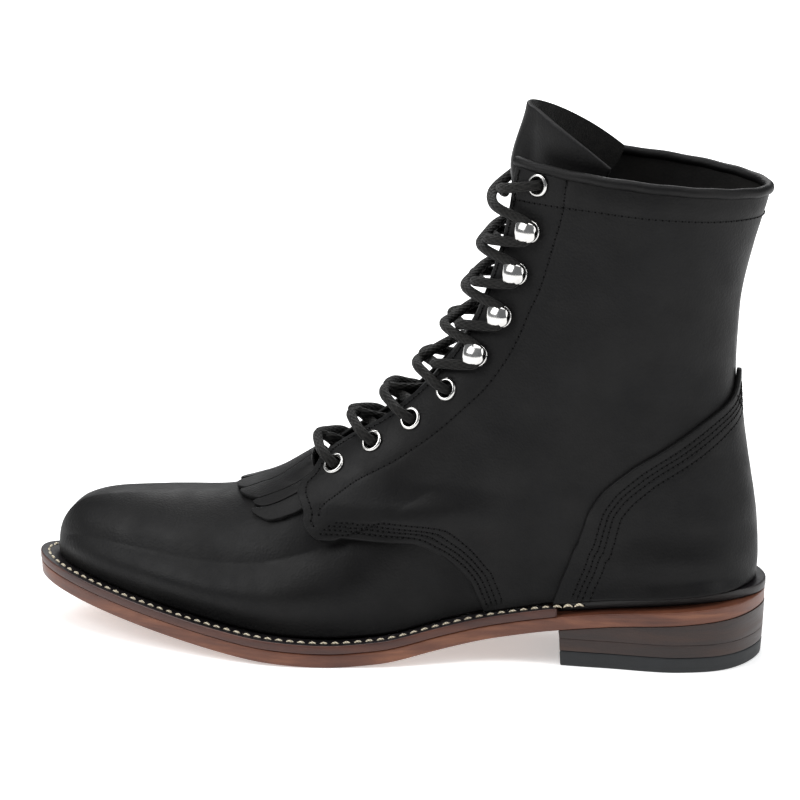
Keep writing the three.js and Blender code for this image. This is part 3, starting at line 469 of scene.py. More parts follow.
def sole_edge_material(name, deep, middle, pale, rough=(0.34, 0.52), layers=320):
    """Stained and burnished sole leather: long streaks along the edge, small dark pores."""
    s = Shader(name, specular=0.45)
    streak = s.noise(150, 5, 0.62, stretch=(0.16, 0.16, 1.5), distortion=0.3)
    cloud = s.noise(30, 3, 0.5, stretch=(1, 1, 2))
    color = s.ramp(s.weigh(streak, cloud, 0.62), [(0.34, deep), (0.5, middle), (0.68, pale)])
    fibres = s.noise(layers, 3, 0.6, stretch=(0.3, 0.3, 2.4))
    pores = s.cells(1300)
    normal = s.bump(fibres, 0.25, 0.0004)
    normal = s.bump(pores, 0.12, 0.0003, normal)
    return s.finish(color, s.remap(streak, 0.3, 0.7, *rough), normal)


def rubber_material(name):
    s = Shader(name, specular=0.4)
    cloud = s.noise(70, 4, 0.6)
    color = s.ramp(cloud, [(0.3, (0.010, 0.011, 0.012)), (0.75, (0.022, 0.024, 0.026))])
    return s.finish(color, s.remap(cloud, 0.3, 0.7, 0.52, 0.68), s.bump(s.noise(1600, 2), 0.3, 0.0002))


def metal_material(name, color, rough=(0.1, 0.24), scratches=0.08):
    s = Shader(name, metallic=1.0)
    wear = s.noise(260, 5, 0.6)
    fine = s.noise(2600, 2, 0.5, stretch=(1, 0.2, 1))
    tint = s.ramp(wear, [(0.3, tuple(0.86 * c for c in color)), (0.7, color)])
    return s.finish(tint, s.remap(wear, 0.3, 0.7, *rough), s.bump(fine, scratches, 0.0001))


def thread_material(name, dark, light, specular=0.3):
    """Waxed, twisted thread; its colour is partly random tone and partly painted shade, darker in the grooves
    of the twist.
    """
    s = Shader(name, roughness=0.6, specular=specular)
    twist = s.node("ShaderNodeTexWave", {"Vector": s.space(), "Scale": 420.0, "Distortion": 1.5},
                   bands_direction="DIAGONAL").outputs["Fac"]
    # half the colour follows the twist, dark where the bump is low: painted shade in the grooves; the other
    # half is random tone
    color = s.ramp(s.weigh(twist, s.noise(500), 0.5), [(0.25, dark), (0.7, light)])
    return s.finish(color, None, s.bump(twist, 0.5, 0.0002))


def board_material(name, dark, light):
    s = Shader(name, roughness=0.85, specular=0.2)
    fleck = s.noise(700, 4, 0.7)
    return s.finish(s.ramp(fleck, [(0.3, dark), (0.7, light)]), None, s.bump(fleck, 0.4, 0.0004))


BRAID_STRANDS = 8                 # diagonal strands seen round the lace in each direction
BRAID_PITCH = 0.0042              # metres along the lace for one turn of a strand's crossing


def braid_material(name):
    """Round braid: two sets of strands that cross, one over the other; the colour darkens where the strands
    lie low, which is painted shade. UV is (along, around).
    """
    s = Shader(name, specular=0.15, sheen=0.04)
    parts = s.node("ShaderNodeSeparateXYZ", {"Vector": s.coordinates.outputs["UV"]})
    length = s.math("MULTIPLY", parts.outputs["X"], 2 * math.pi / BRAID_PITCH)
    round_ = s.math("MULTIPLY", parts.outputs["Y"], 2 * math.pi * BRAID_STRANDS / 2)
    left = s.math("SINE", s.math("ADD", length, round_))
    right = s.math("SINE", s.math("SUBTRACT", length, round_))
    height = s.math("MAXIMUM", left, right)
    crossing = s.math("MULTIPLY", left, right)
    both = s.weigh(height, crossing, 0.7)
    # colour follows strand height, dark in the low places between and under strands: painted shade
    color = s.ramp(s.remap(both, -0.6, 1, 0, 1),
                   [(0.1, (0.0015, 0.0015, 0.0015)), (0.85, (0.011, 0.0105, 0.0095))])
    normal = s.bump(both, 0.75, 0.00035)
    normal = s.bump(s.noise(2600, 2), 0.35, 0.00012, normal)
    return s.finish(color, s.remap(s.noise(500), 0.3, 0.7, 0.6, 0.8), normal)


def floor_material():
    """White paper that glows a little more with distance from the boot, so it has no dark horizon."""
    s = Shader("floor_paper", roughness=0.9, specular=0.1)
    reach = s.node("ShaderNodeVectorMath", {0: s.coordinates.outputs["Object"]},
                   operation="LENGTH").outputs["Value"]
    glow = s.remap(reach, 0.1, 1.3, 0.42, 0.97)
    s.tree.links.new(glow, s.shader.inputs["Emission Strength"])
    s.shader.inputs["Emission Color"].default_value = (1, 1, 1, 1)
    return s.finish(s.ramp(s.noise(8, 2), [(0.3, (0.9, 0.9, 0.9)), (0.7, (0.92, 0.92, 0.92))]))


BLACK = leather_material("black_leather", (0.0022, 0.0022, 0.0025), (0.006, 0.0057, 0.0056))
BLACK_EDGE = leather_material("black_edge", (0.003, 0.003, 0.003), (0.007, 0.007, 0.007), (0.6, 0.75))
WELT_BLACK = leather_material("welt_black", (0.008, 0.007, 0.008), (0.022, 0.019, 0.021), (0.38, 0.5), 0.4)
LINING_BLACK = leather_material("lining_leather", (0.006, 0.006, 0.006), (0.016, 0.015, 0.014),
                                (0.4, 0.6), 0.4)
FLESH = suede_material("flesh_side", (0.003, 0.003, 0.003), (0.012, 0.011, 0.010))
WELT_EDGE = sole_edge_material("welt_edge", (0.030, 0.010, 0.008), (0.060, 0.020, 0.013),
                               (0.110, 0.038, 0.022))
RAND_EDGE = sole_edge_material("rand_edge", (0.006, 0.005, 0.006), (0.012, 0.010, 0.010),
                               (0.022, 0.016, 0.015))
OUTSOLE_EDGE = sole_edge_material("outsole_edge", (0.065, 0.019, 0.010), (0.130, 0.044, 0.023),
                                  (0.260, 0.104, 0.052))
OUTSOLE_FACE = sole_edge_material("outsole_face", (0.16, 0.070, 0.036), (0.24, 0.115, 0.062),
                                  (0.33, 0.18, 0.105), (0.5, 0.7), 180)
LIFT_EDGE = sole_edge_material("lift_edge", (0.010, 0.005, 0.004), (0.024, 0.011, 0.008),
                               (0.050, 0.024, 0.015))
RUBBER = rubber_material("heel_rubber")
NICKEL = metal_material("nickel", (0.66, 0.65, 0.63))
STEEL = metal_material("steel", (0.55, 0.56, 0.58), (0.25, 0.4), 0.2)
CREAM_THREAD = thread_material("cream_thread", (0.40, 0.33, 0.22), (0.80, 0.73, 0.58))
BLACK_THREAD = thread_material("black_thread", (0.0015, 0.0015, 0.0015), (0.006, 0.006, 0.006), 0.15)
# near-black dots between stitches: painted shade where the needle holes are
NEEDLE_HOLE_SHADE = thread_material("needle_hole_painted_shade", (0.0004, 0.0004, 0.0004), (0.001, 0.001, 0.001), 0.05)
BOARD = board_material("fibre_board", (0.22, 0.14, 0.075), (0.36, 0.25, 0.15))
CORK = board_material("cork", (0.14, 0.075, 0.03), (0.42, 0.27, 0.14))
BRAID = braid_material("braided_lace")


# ---- mesh building
def piece(name, points, faces, materials, body="boot", slot=None, replaces=(), picks=None, uv=None):
    """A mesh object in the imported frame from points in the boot's frame."""
    mesh = bpy.data.meshes.new(name)
    mesh.from_pydata(metres(points).tolist(), [], faces)
    for material in materials:
        mesh.materials.append(material)
    mesh.polygons.foreach_set("use_smooth", np.ones(len(faces), bool))
    if picks is not None:
        mesh.polygons.foreach_set("material_index", np.asarray(picks, np.int32))
    if uv is not None:
        layer = mesh.uv_layers.new(name="UVMap")
        index = np.zeros(len(mesh.loops), np.int32)
        mesh.loops.foreach_get("vertex_index", index)
        layer.data.foreach_set("uv", np.asarray(uv, np.float32)[index].ravel())
    mesh.update()
    made = bpy.data.objects.new(name, mesh)
    scene.collection.objects.link(made)
    if body:
        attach(made, body)
    if replaces:
        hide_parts(*replaces)
    return made


def outward(points, faces):
    """Turns every face round if the closed mesh is inside out."""
    centred = np.asarray(points) - np.mean(points, 0)
    corners = np.array([(f[0], f[k], f[k + 1]) for f in faces for k in range(1, len(f) - 1)])
    a, b, c = (centred[corners[:, k]] for k in range(3))
    return faces if np.einsum("ij,ij->", a, np.cross(b, c)) > 0 else [tuple(f[::-1]) for f in faces]


def grid_faces(columns, rows, start=0):
    i, j = np.meshgrid(np.arange(columns), np.arange(rows), indexing="ij")
    a = start + i * (rows + 1) + j
    return np.stack([a, a + rows + 1, a + rows + 2, a + 1], -1).reshape(-1, 4)


def closed_sheet(outer, inner, open_cells=None):
    """Joins two grids of points into one closed sheet; open_cells are quads left out as holes."""
    columns, rows = outer.shape[0] - 1, outer.shape[1] - 1
    count = (columns + 1) * (rows + 1)
    points = np.concatenate([outer.reshape(-1, 3), inner.reshape(-1, 3)])
    keep = np.ones((columns, rows), bool) if open_cells is None else ~open_cells
    quads = grid_faces(columns, rows)[keep.ravel()]
    faces = [tuple(q) for q in quads]
    side = [0] * len(faces)
    faces += [tuple(q[::-1] + count) for q in quads]
    side += [1] * len(quads)
    padded = np.zeros((columns + 2, rows + 2), bool)
    padded[1:-1, 1:-1] = keep

    def at(i, j):
        return i * (rows + 1) + j

    def wall(i0, j0, i1, j1):
        faces.append((at(i1, j1), at(i0, j0), at(i0, j0) + count, at(i1, j1) + count))
        side.append(2)

    for i, j in zip(*np.nonzero(keep)):
        if not padded[i, j + 1]:
            wall(i, j + 1, i, j)
        if not padded[i + 2, j + 1]:
            wall(i + 1, j, i + 1, j + 1)
        if not padded[i + 1, j]:
            wall(i, j, i + 1, j)
        if not padded[i + 1, j + 2]:
            wall(i + 1, j + 1, i, j + 1)
    return points, faces, side


def relief(points):
    """Soft folds of worn-in leather, as a height in millimetres at points of the boot."""
    x, y, z = points[..., 0], points[..., 1], points[..., 2]
    ankle = np.exp(-(((x - 30) / 62) ** 2) - (((z - 92) / 46) ** 2))
    shaft = smooth(z, 95, 150) * (1 - smooth(z, 188, 200)) * smooth(x, 62, 100)
    vamp = smooth(x, -110, -70) * (1 - smooth(x, -30, 10)) * smooth(z, 25, 45)
    folds = (np.sin(0.075 * x + 0.05 * z + 0.03 * y) + 0.6 * np.sin(0.13 * x - 0.09 * z + 1.3)
             + 0.35 * np.sin(0.21 * x + 0.17 * z + 0.05 * y + 2.1))
    upright = np.sin(0.16 * x + 0.02 * z + 0.6) + 0.5 * np.sin(0.31 * x - 0.05 * z + 1.7)
    waves = np.sin(0.11 * z + 0.04 * x + 0.5)
    fine = np.sin(0.43 * x + 0.31 * z) * np.sin(0.37 * z - 0.22 * x + 0.12 * y)
    return 0.28 * ankle * folds + 0.16 * shaft * (upright + waves) + 0.10 * vamp * folds + 0.03 * fine


def steps(count, length, edge):
    """Shares from 0 to 1, even in the middle and close together within the rounded edges."""
    near = np.array([0, 0.08, 0.25, 0.5, 0.8]) * edge / length
    margin = 1.3 * edge / length
    return np.concatenate([near, np.linspace(margin, 1 - margin, count), 1 - near[::-1]])


def spacing(points, axis):
    """Distance of every grid point along one direction from both ends of its line."""
    gaps = np.linalg.norm(np.diff(points, axis=axis), axis=-1)
    start = np.concatenate([np.zeros_like(np.take(gaps, [0], axis)), np.cumsum(gaps, axis)], axis)
    return start, np.take(start, [-1], axis) - start


SEAM_DEPTH = 0.22                 # how far a row of stitches draws the leather in
SEAM_WIDTH = 1.0
SKIVE_REACH = 6                   # a skived edge thins over this distance
EYELET_CUT = 3.7                  # radius of the hole in the leather under an eyelet
THINNEST = 0.25


def leather(name, place, inner, outer, pitch=1.3, edge=0.8, skive=0.0, seams=(), holes=(), folds=1.0,
            materials=(), **options):
    """A leather piece. place(a, b) gives turn and level; inner and outer are offsets from the surface."""
    even = np.linspace(0, 1, 41)
    rough = surface(*place(*np.meshgrid(even, even, indexing="ij")))
    wide, high = spacing(rough, 0)[0][-1].max(), spacing(rough, 1)[0][:, -1].max()
    shares = (steps(int(length / pitch), length, edge) for length in (wide, high))
    a, b = np.meshgrid(*shares, indexing="ij")
    turn, level = place(a, b)
    base = surface(turn, level)
    normal = normal_at(turn, level)
    distance = np.minimum.reduce([*spacing(base, 0), *spacing(base, 1)])
    inward = np.clip(1 - distance / edge, 0, 1)
    drop = edge * (1 - np.sqrt(1 - inward ** 2)) + skive * (1 - smooth(distance, 0, SKIVE_REACH))
    top = (outer(turn, level) if callable(outer) else outer) - drop + folds * relief(base)
    low = (inner(turn, level) if callable(inner) else inner) + folds * relief(base)
    for line in seams:
        tree = KDTree(len(line))
        for i, p in enumerate(line):
            tree.insert(p, i)
        tree.balance()
        near = np.array([tree.find(p)[2] for p in base.reshape(-1, 3)]).reshape(base.shape[:2])
        top = top - SEAM_DEPTH * np.exp(-((near / SEAM_WIDTH) ** 2))
    low = np.minimum(low, top - THINNEST)
    outer_points = base + normal * top[..., None]
    inner_points = base + normal * low[..., None]
    cells = None
    if len(holes):
        middle = (base[:-1, :-1] + base[1:, 1:]) / 2
        cells = np.zeros(middle.shape[:2], bool)
        for hole in holes:
            cells |= np.linalg.norm(middle - hole, axis=-1) < EYELET_CUT
    points, faces, side = closed_sheet(outer_points, inner_points, cells)
    faces = outward(points, faces)
    picks = [min(s, len(materials) - 1) for s in side]
    return piece(name, points, faces, materials, picks=picks, **options)


def lengths_along(points):
    """Distance of every point from the first, along a line of points."""
    return np.concatenate([[0], np.cumsum(np.linalg.norm(np.diff(points, axis=0), axis=1))])


def resample(points, pitch):
    """Points at an even pitch along a line of points."""
    points = np.asarray(points, float)
    lengths = lengths_along(points)
    at = np.linspace(0, lengths[-1], max(2, int(round(lengths[-1] / pitch)) + 1))
    return np.stack([np.interp(at, lengths, points[:, k]) for k in range(3)], -1)


def blob(segments, rings):
    """A unit sphere as points and faces, its poles on the X axis."""
    points, faces = [(-1, 0, 0)], []
    for i in range(1, rings):
        across = math.pi * i / rings
        for j in range(segments):
            angle = 2 * math.pi * j / segments
            points.append((-math.cos(across), math.sin(across) * math.cos(angle),
                           math.sin(across) * math.sin(angle)))
    points.append((1, 0, 0))
    last = len(points) - 1
    for j in range(segments):
        k = (j + 1) % segments
        faces.append((0, 1 + k, 1 + j))
        for i in range(rings - 2):
            a, b = 1 + i * segments + j, 1 + i * segments + k
            faces.append((a, b, b + segments, a + segments))
        faces.append((last, 1 + (rings - 2) * segments + j, 1 + (rings - 2) * segments + k))
    return np.array(points), faces


NEEDLE_HOLE_SHADE_SIZE = [0.42, 0.42, 0.30]  # half sizes along, across and out of the leather of the black dots that are painted shade in the needle holes


def stitches(name, rows, pitch, length, width, height, material, bury=0.35, **options):
    """Rows of stitches with black dots between them, painted shade standing for the needle holes. Each row is
    (points, normals) on the leather.
    """
    shape, shape_faces = blob(8, 6)
    dot, dot_faces = blob(6, 4)
    points, faces, picks = [], [], []
    start = 0

    def put(template, template_faces, centre, axes, pick):
        nonlocal start
        points.append(centre + template @ axes)
        faces.extend(tuple(start + k for k in f) for f in template_faces)
        picks.extend([pick] * len(template_faces))
        start += len(template)

    arched = shape * [length / 2, width / 2, height / 2]
    arched[:, 2] -= height * 0.9 * shape[:, 0] ** 2
    # the dots between stitches are painted shade for the needle holes
    small = dot * NEEDLE_HOLE_SHADE_SIZE
    for line, normals in rows:
        spots = resample(line, pitch)
        lengths = lengths_along(line)
        lengths = lengths / lengths[-1]
        at = np.linspace(0, 1, len(spots))
        ups = unit(np.stack([np.interp(at, lengths, normals[:, k]) for k in range(3)], -1))
        for i in range(len(spots) - 1):
            ahead = spots[i + 1] - spots[i]
            ahead = ahead / np.linalg.norm(ahead)
            up = unit(ups[i] + ups[i + 1])
            up = unit(up - ahead * np.dot(up, ahead))
            axes = np.stack([ahead, np.cross(up, ahead), up])
            middle = (spots[i] + spots[i + 1]) / 2 + up * (height / 2 - bury)
            put(arched, shape_faces, middle, axes, 0)
            # a black dot sunk in the leather: painted shade of the needle hole
            put(small, dot_faces, spots[i] - up * 0.12, axes, 1)
    return piece(name, np.concatenate(points), faces, [material, NEEDLE_HOLE_SHADE], picks=picks, **options)


# ---- lines on the upper
STATIONS = [("eyelet", -20.6, 77.4), ("eyelet", -4.5, 88.3), ("eyelet", 11.9, 99.5), ("eyelet", 27.3, 113.2),
            ("hook", 40.5, 128.4), ("hook", 50.2, 145.5), ("hook", 56.5, 163.3), ("hook", 61.4, 180.8),
            ("eyelet", 64.3, 199.7)]
station_kinds = [kind for kind, _, _ in STATIONS]
station_turn, station_level = place_at([x for _, x, _ in STATIONS], [z for _, _, z in STATIONS])
FACING_FOOT = [[-33.4, 70.5], [-31.4, 60.5], [-25.5, 50]]
SEAM_OVER_VAMP = [[-25.5, 49.5], [-6, 50.3], [11, 50.5], [23, 46.5], [31, 39.5], [37, 31], [42, 19.5]]
VAMP_THROAT = [[-37.5, 75], [-25, 68.5], [-2, 64], [22, 60], [40, 50], [50, 36]]
COUNTER_EDGE = [[143.4, 121], [139, 113.5], [131.3, 104], [119, 94], [104, 84], [93, 74], [89, 68],
                [86.6, 60], [84, 51], [81.2, 42.5], [78.2, 34.5], [76, 27.5]]
ROW_SHARE = 0.72


def polar(points):
    """Turn and level as curves through points x, z in side elevation."""
    places = np.stack(place_at(*np.transpose(points)), -1)
    rows = [[i / (len(points) - 1), *p] for i, p in enumerate(places)]
    return through(rows, 1), through(rows, 2)


foot_turn, foot_level = (float(v) for v in place_at(*FACING_FOOT[0]))
row_turn = through([[v, t] for t, v in zip(station_turn, station_level)])
foot_curve = polar(FACING_FOOT)
seam_curve = polar(SEAM_OVER_VAMP)
seam_end_turn = float(place_at(*SEAM_OVER_VAMP[-1])[0])


def row_edge(level):
    turn = row_turn(level)
    per_turn = np.linalg.norm(surface(turn, level) - surface(turn - 0.05, level), axis=-1) / 0.05
    return turn - FACING_FRONT / per_turn


def facing_edge(s):
    s = np.asarray(s, float)
    level = mix(foot_level, 1, (s - 1 + ROW_SHARE) / ROW_SHARE)
    upper = mix(foot_turn, row_edge(level), smooth(level, foot_level, foot_level + 0.07))
    k = 1 - s / (1 - ROW_SHARE)
    high = s >= 1 - ROW_SHARE
    return np.where(high, upper, foot_curve[0](k)), np.where(high, level, foot_curve[1](k))


SEAM_SHARE = 0.53                 # of the quarter's foot that runs over the vamp


def quarter_foot(s):
    s = np.asarray(s, float)
    over = s <= SEAM_SHARE
    at_welt = mix(seam_end_turn, 1, (s - SEAM_SHARE) / (1 - SEAM_SHARE))
    turn = np.where(over, seam_curve[0](s / SEAM_SHARE), at_welt)
    return turn, np.where(over, np.maximum(0, seam_curve[1](s / SEAM_SHARE)), 0)


BACK_GAP = 0.0015


def quarter_place(side):
    edge_top = [float(v) for v in facing_edge(1)]
    edge_foot = [float(v) for v in facing_edge(0)]

    def place(a, share):
        b = share ** 1.3
        bottom = quarter_foot(a)
        top = (mix(edge_top[0], 1, a), 1)
        front = facing_edge(b)

        def patch(k):
            bow = front[k] - mix(edge_foot[k], edge_top[k], b)
            return mix(bottom[k], top[k], b) + bow * (1 - a) ** 3

        return side * np.minimum(patch(0), 1 - BACK_GAP), np.clip(patch(1), 0.001, 1)

    return place


def quarter_lift(turn, level):
    u = np.abs(turn)
    over_kiltie = (1 - smooth(level, 0.43, 0.53)) * (1 - smooth(u, 0.4, 0.52))
    over_vamp_end = smooth(u, 0.42, 0.5) * (1 - smooth(u, 0.62, 0.68)) * (1 - smooth(level, 0.3, 0.45))
    return LAYER_GAP + (LEATHER + LAYER_GAP) * over_kiltie + LAYER_GAP * over_vamp_end


def quarter_top(turn, level):
    return quarter_lift(turn, level) + LEATHER


throat_turn, throat_level = place_at(*np.transpose(VAMP_THROAT))
throat_turn[0] = 0
vamp_top = through(list(zip(throat_turn, throat_level)))
vamp_end = float(throat_turn[-1])


def vamp_place(end=vamp_end, lower=0.0):
    def place(a, b):
        turn = mix(-end, end, a)
        return turn, np.maximum(0.001, (vamp_top(np.abs(turn)) - lower) * b)

    return place


counter_turns, counter_levels = place_at(*np.transpose(COUNTER_EDGE))
counter_turn = through([[max(0.0, v), t] for t, v in zip(counter_turns[::-1], counter_levels[::-1])])
counter_top = float(counter_levels[0])


def heel_patch(top_level):
    """A patch round the back of the heel, up to a level, with the counter cover's outline."""
    def place(a, b):
        level = mix(0.002, top_level, b ** 1.15)
        reach = 1 - counter_turn(level / top_level * counter_top) + 0.012
        return 1 + reach * (2 * a - 1), level

    return place


def cover_under(turn, level):
    return LAYER_GAP + LEATHER + 0.1 + LAYER_GAP * (1 - smooth(level, 0.1, 0.4))


def cover_top(turn, level):
    return cover_under(turn, level) + LEATHER


def inside(line, distance):
    """A line of places moved sideways by a distance; positive is to its left, seen on the outer side."""
    turn, level = line
    small = 1e-4
    points = surface(turn, level)
    along_turn = (surface(turn + small, level) - points) / small
    along_level = (surface(turn, level + small) - points) / small
    ahead = unit(np.gradient(points, axis=0))
    step = -np.cross(normal_at(turn, level), ahead) * distance
    tt, tv, vv = ((p * q).sum(-1) for p, q in ((along_turn, along_turn), (along_turn, along_level),
                                               (along_level, along_level)))
    st, sv = (step * along_turn).sum(-1), (step * along_level).sum(-1)
    scale = tt * vv - tv * tv
    return turn + (vv * st - tv * sv) / scale, np.maximum(level + (tt * sv - tv * st) / scale, 0.002)


def side_line(points, count=90):
    """Places along a smooth line through points x, z in side elevation."""
    curves = polar(points)
    k = np.linspace(0, 1, count)
    return curves[0](k), curves[1](k)


def thread_row(line, side, top):
    """A row for stitches(): points on a face at offset top, and their normals."""
    turn, level = side * line[0], line[1]
    base = surface(turn, level)
    normal = normal_at(turn, level)
    height = top(turn, level) + relief(base)
    return base + normal * height[:, None], normal


# ---- upper
ROW_BEHIND_FACING = [[-25, 59], [-23.5, 62.5], [-11, 73], [6, 83.5], [22.5, 96], [33, 106], [44.5, 118],
                     [54.5, 133.5], [60.5, 147.5], [65.5, 159], [69.5, 172.5], [74, 189], [76, 205.5]]
ROW_UNDER_COLLAR = [[54.5, 192.3], [73.5, 192], [87.5, 191.3], [104.5, 189.7], [124, 188], [144, 187],
                    [150.5, 187]]


def quarter_seams():
    """Stitch lines of one quarter as places on the outer side."""
    k = np.linspace(0.03, 0.995, 160)
    front = inside(facing_edge(k), -3.0)
    behind = side_line(ROW_BEHIND_FACING, 160)
    collar = side_line(ROW_UNDER_COLLAR, 120)
    foot = quarter_foot(np.linspace(0.004, SEAM_SHARE * 0.985, 110))
    band = [inside(foot, d) for d in (2.6, 4.8, 7.0, 9.6)]
    return [front, behind, collar], band


def make_quarters():
    fine, band = quarter_seams()
    for side, name in ((-1, "lateral"), (1, "medial")):
        lines = [surface(side * t, v) for t, v in fine + band]
        holes = [surface(side * t, v) for t, v, kind in zip(station_turn, station_level, station_kinds)
                 if kind == "eyelet"]
        leather(f"quarter_{name}_leather", quarter_place(side), quarter_lift, quarter_top, pitch=1.25,
                skive=0.5, seams=[resample(line, 1.0) for line in lines], holes=holes,
                materials=[BLACK, LINING_BLACK, BLACK_EDGE], slot="upper_leather",
                replaces=[f"quarter_{name}"])
        rows = [thread_row(line, side, quarter_top) for line in fine]
        stitches(f"facing_stitching_{name}", rows, 2.7, 1.9, 0.8, 0.5, BLACK_THREAD, slot="upper_leather")
        rows = [thread_row(line, side, quarter_top) for line in band]
        stitches(f"band_stitching_{name}", rows, 2.3, 1.6, 0.75, 0.5, BLACK_THREAD, slot="upper_leather")


def make_vamp():
    leather("vamp_leather", vamp_place(), -LEATHER, 0.0, materials=[BLACK, LINING_BLACK, BLACK_EDGE],
            slot="upper_leather", replaces=["vamp"])
    lining = -LEATHER - 1.4 * LAYER_GAP - STIFFENER - 1.6 * LAYER_GAP
    leather("vamp_lining_leather", vamp_place(vamp_end - 0.02, 0.012), lining - LINING, lining, pitch=3,
            edge=0.3, folds=0, materials=[LINING_BLACK], slot="lining_leather", replaces=["vamp_lining"])


def make_counter():
    curves = polar(COUNTER_EDGE)
    k = np.linspace(0.06, 0.985, 130)
    edge = curves[0](k), curves[1](k)
    seams = [inside(edge, d) for d in (2.6, 4.8, 7.0, 10.2)]
    lines = [surface(side * t, v) for t, v in seams for side in (-1, 1)]
    leather("counter_cover_leather", heel_patch(counter_top), cover_under, cover_top, pitch=1.25, edge=0.9,
            seams=[resample(line, 1.0) for line in lines], materials=[BLACK, BLACK_EDGE, BLACK_EDGE],
            slot="upper_leather", replaces=["counter_cover"])
    rows = [thread_row(line, side, cover_top) for line in seams for side in (-1, 1)]
    stitches("counter_stitching", rows, 2.3, 1.6, 0.7, 0.55, BLACK_THREAD, slot="upper_leather")
    counter_height = float(place_at(150, 84)[1])
    lining = -STIFFENER - LAYER_GAP
    leather("heel_lining_leather", heel_patch(counter_height), lining - LINING, lining, pitch=3,
            edge=0.3, folds=0, materials=[LINING_BLACK], slot="lining_leather", replaces=["heel_lining"])


def ring_faces(rings, sides, joined=False):
    """Quads between rings of corners; joined also closes the last ring on the first."""
    faces = []
    for i in range(rings if joined else rings - 1):
        n = (i + 1) % rings
        for j in range(sides):
            k = (j + 1) % sides
            faces.append((i * sides + j, i * sides + k, n * sides + k, n * sides + j))
    return faces


def tube(name, path, radius, sides, materials, **options):
    """A closed tube round a line of points; its UV is (metres along, share around)."""
    path = np.asarray(path)
    ahead = unit(np.gradient(path, axis=0))
    across = np.zeros_like(path)
    last = np.array([0.0, 1.0, 0.0])
    for i, direction in enumerate(ahead):
        last = last - direction * np.dot(last, direction)
        last = last / np.linalg.norm(last)
        across[i] = last
    other = np.cross(ahead, across)
    lengths = lengths_along(path)
    angle = 2 * np.pi * np.arange(sides) / sides
    rings = path[:, None] + radius * (np.cos(angle)[:, None] * across[:, None]
                                      + np.sin(angle)[:, None] * other[:, None])
    count = len(path)
    points = np.concatenate([rings.reshape(-1, 3), path[[0, -1]]])
    faces = ring_faces(count, sides)
    for j in range(sides):
        k = (j + 1) % sides
        faces.append((count * sides, k, j))
        faces.append((count * sides + 1, (count - 1) * sides + j, (count - 1) * sides + k))
    around = np.broadcast_to(np.abs(2 * np.arange(sides) / sides - 1), (count, sides))
    uv = np.stack([np.broadcast_to(lengths[:, None] / 1000, (count, sides)), around], -1).reshape(-1, 2)
    uv = np.concatenate([uv, [[0, 0], [lengths[-1] / 1000, 0]]])
    return piece(name, points, outward(points, faces), materials, uv=uv, **options)


def make_binding():
    edge = float(facing_edge(1)[0])
    turn = np.linspace(edge + 0.004, 2 - edge - 0.004, 260)
    path = skin(turn, np.ones_like(turn), quarter_lift(turn, 1.0) + LEATHER / 2)
    path[:, 2] += BINDING_RADIUS - 0.7
    path += np.stack([0 * turn, 0 * turn, 0.12 * np.sin(60 * turn)], -1)
    tube("collar_binding_roll", path, BINDING_RADIUS, 16, [BLACK], slot="upper_leather",
         replaces=["collar_binding"])


# ---- tongue and kiltie
TONGUE_FLOOR = -7
tongue_base = float(ridge_level_at(-34.5))


def tongue_top(turn, level):
    middle = 1 - smooth(np.abs(turn), 0.07, 0.16)
    wings = TONGUE_FLOOR + 2 * smooth(level, 1, 1.06)
    fill = 5.6 * smooth(level, 0.935, 1) - 2.2 * smooth(level, 1, 1.07)
    return wings + middle * (fill - 2 * smooth(level, 1, 1.06))


def tongue_place(a, b):
    reach = 2 * a - 1
    half = mix(0.16, 0.37, smooth(b, 0.05, 0.75)) + 0.07 * smooth(b, 0.8, 1)
    top = 1 + TONGUE_TOP_RISE * (1 - 0.75 * np.abs(reach) ** 2.4)
    return half * reach, mix(tongue_base, top, b)


def make_tongue():
    def top(turn, level):
        under_lace = (1 - smooth(np.abs(turn), 0.06, 0.12)) * (1 - smooth(level, 0.93, 1))
        return tongue_top(turn, level) + 2 * under_lace

    leather("tongue_leather", tongue_place, lambda t, v: top(t, v) - TONGUE_THICKNESS, top, pitch=1.6,
            folds=0.4, edge=0.7, materials=[BLACK, FLESH, BLACK_EDGE], body="tongue_part",
            slot="upper_leather", replaces=["tongue"])


KILTIE_SLITS = [0, 0.105, 0.193, 0.262, 0.342]        # turn of each cut's front end, and of the side edge
KILTIE_TIPS = [(0.424, 0.419), (0.412, 0.405), (0.396, 0.373), (0.345, 0.303)]   # levels at the front
KILTIE_BACK = through([[0, 0.529], [0.08, 0.527], [0.15, 0.52], [0.25, 0.49]])
SLIT = 0.0008                     # half the width of a cut, as turn
SLIT_LEAN = 0.62                  # the cuts draw together towards the hinge


def kiltie_cut(i, level):
    tip = KILTIE_TIPS[min(i, 3)][1 if i == 4 else 0]
    lean = SLIT_LEAN * (i > 0) * (0.6 + 0.1 * i)
    return KILTIE_SLITS[i] - lean * np.maximum(0, level - tip)


def kiltie_top(turn, level):
    tucked = smooth(np.abs(turn), 0.1, 0.15) * smooth(level, 0.36, 0.45)
    return mix(2.3, np.minimum(2.3, quarter_lift(turn, level) - 0.15), tucked)


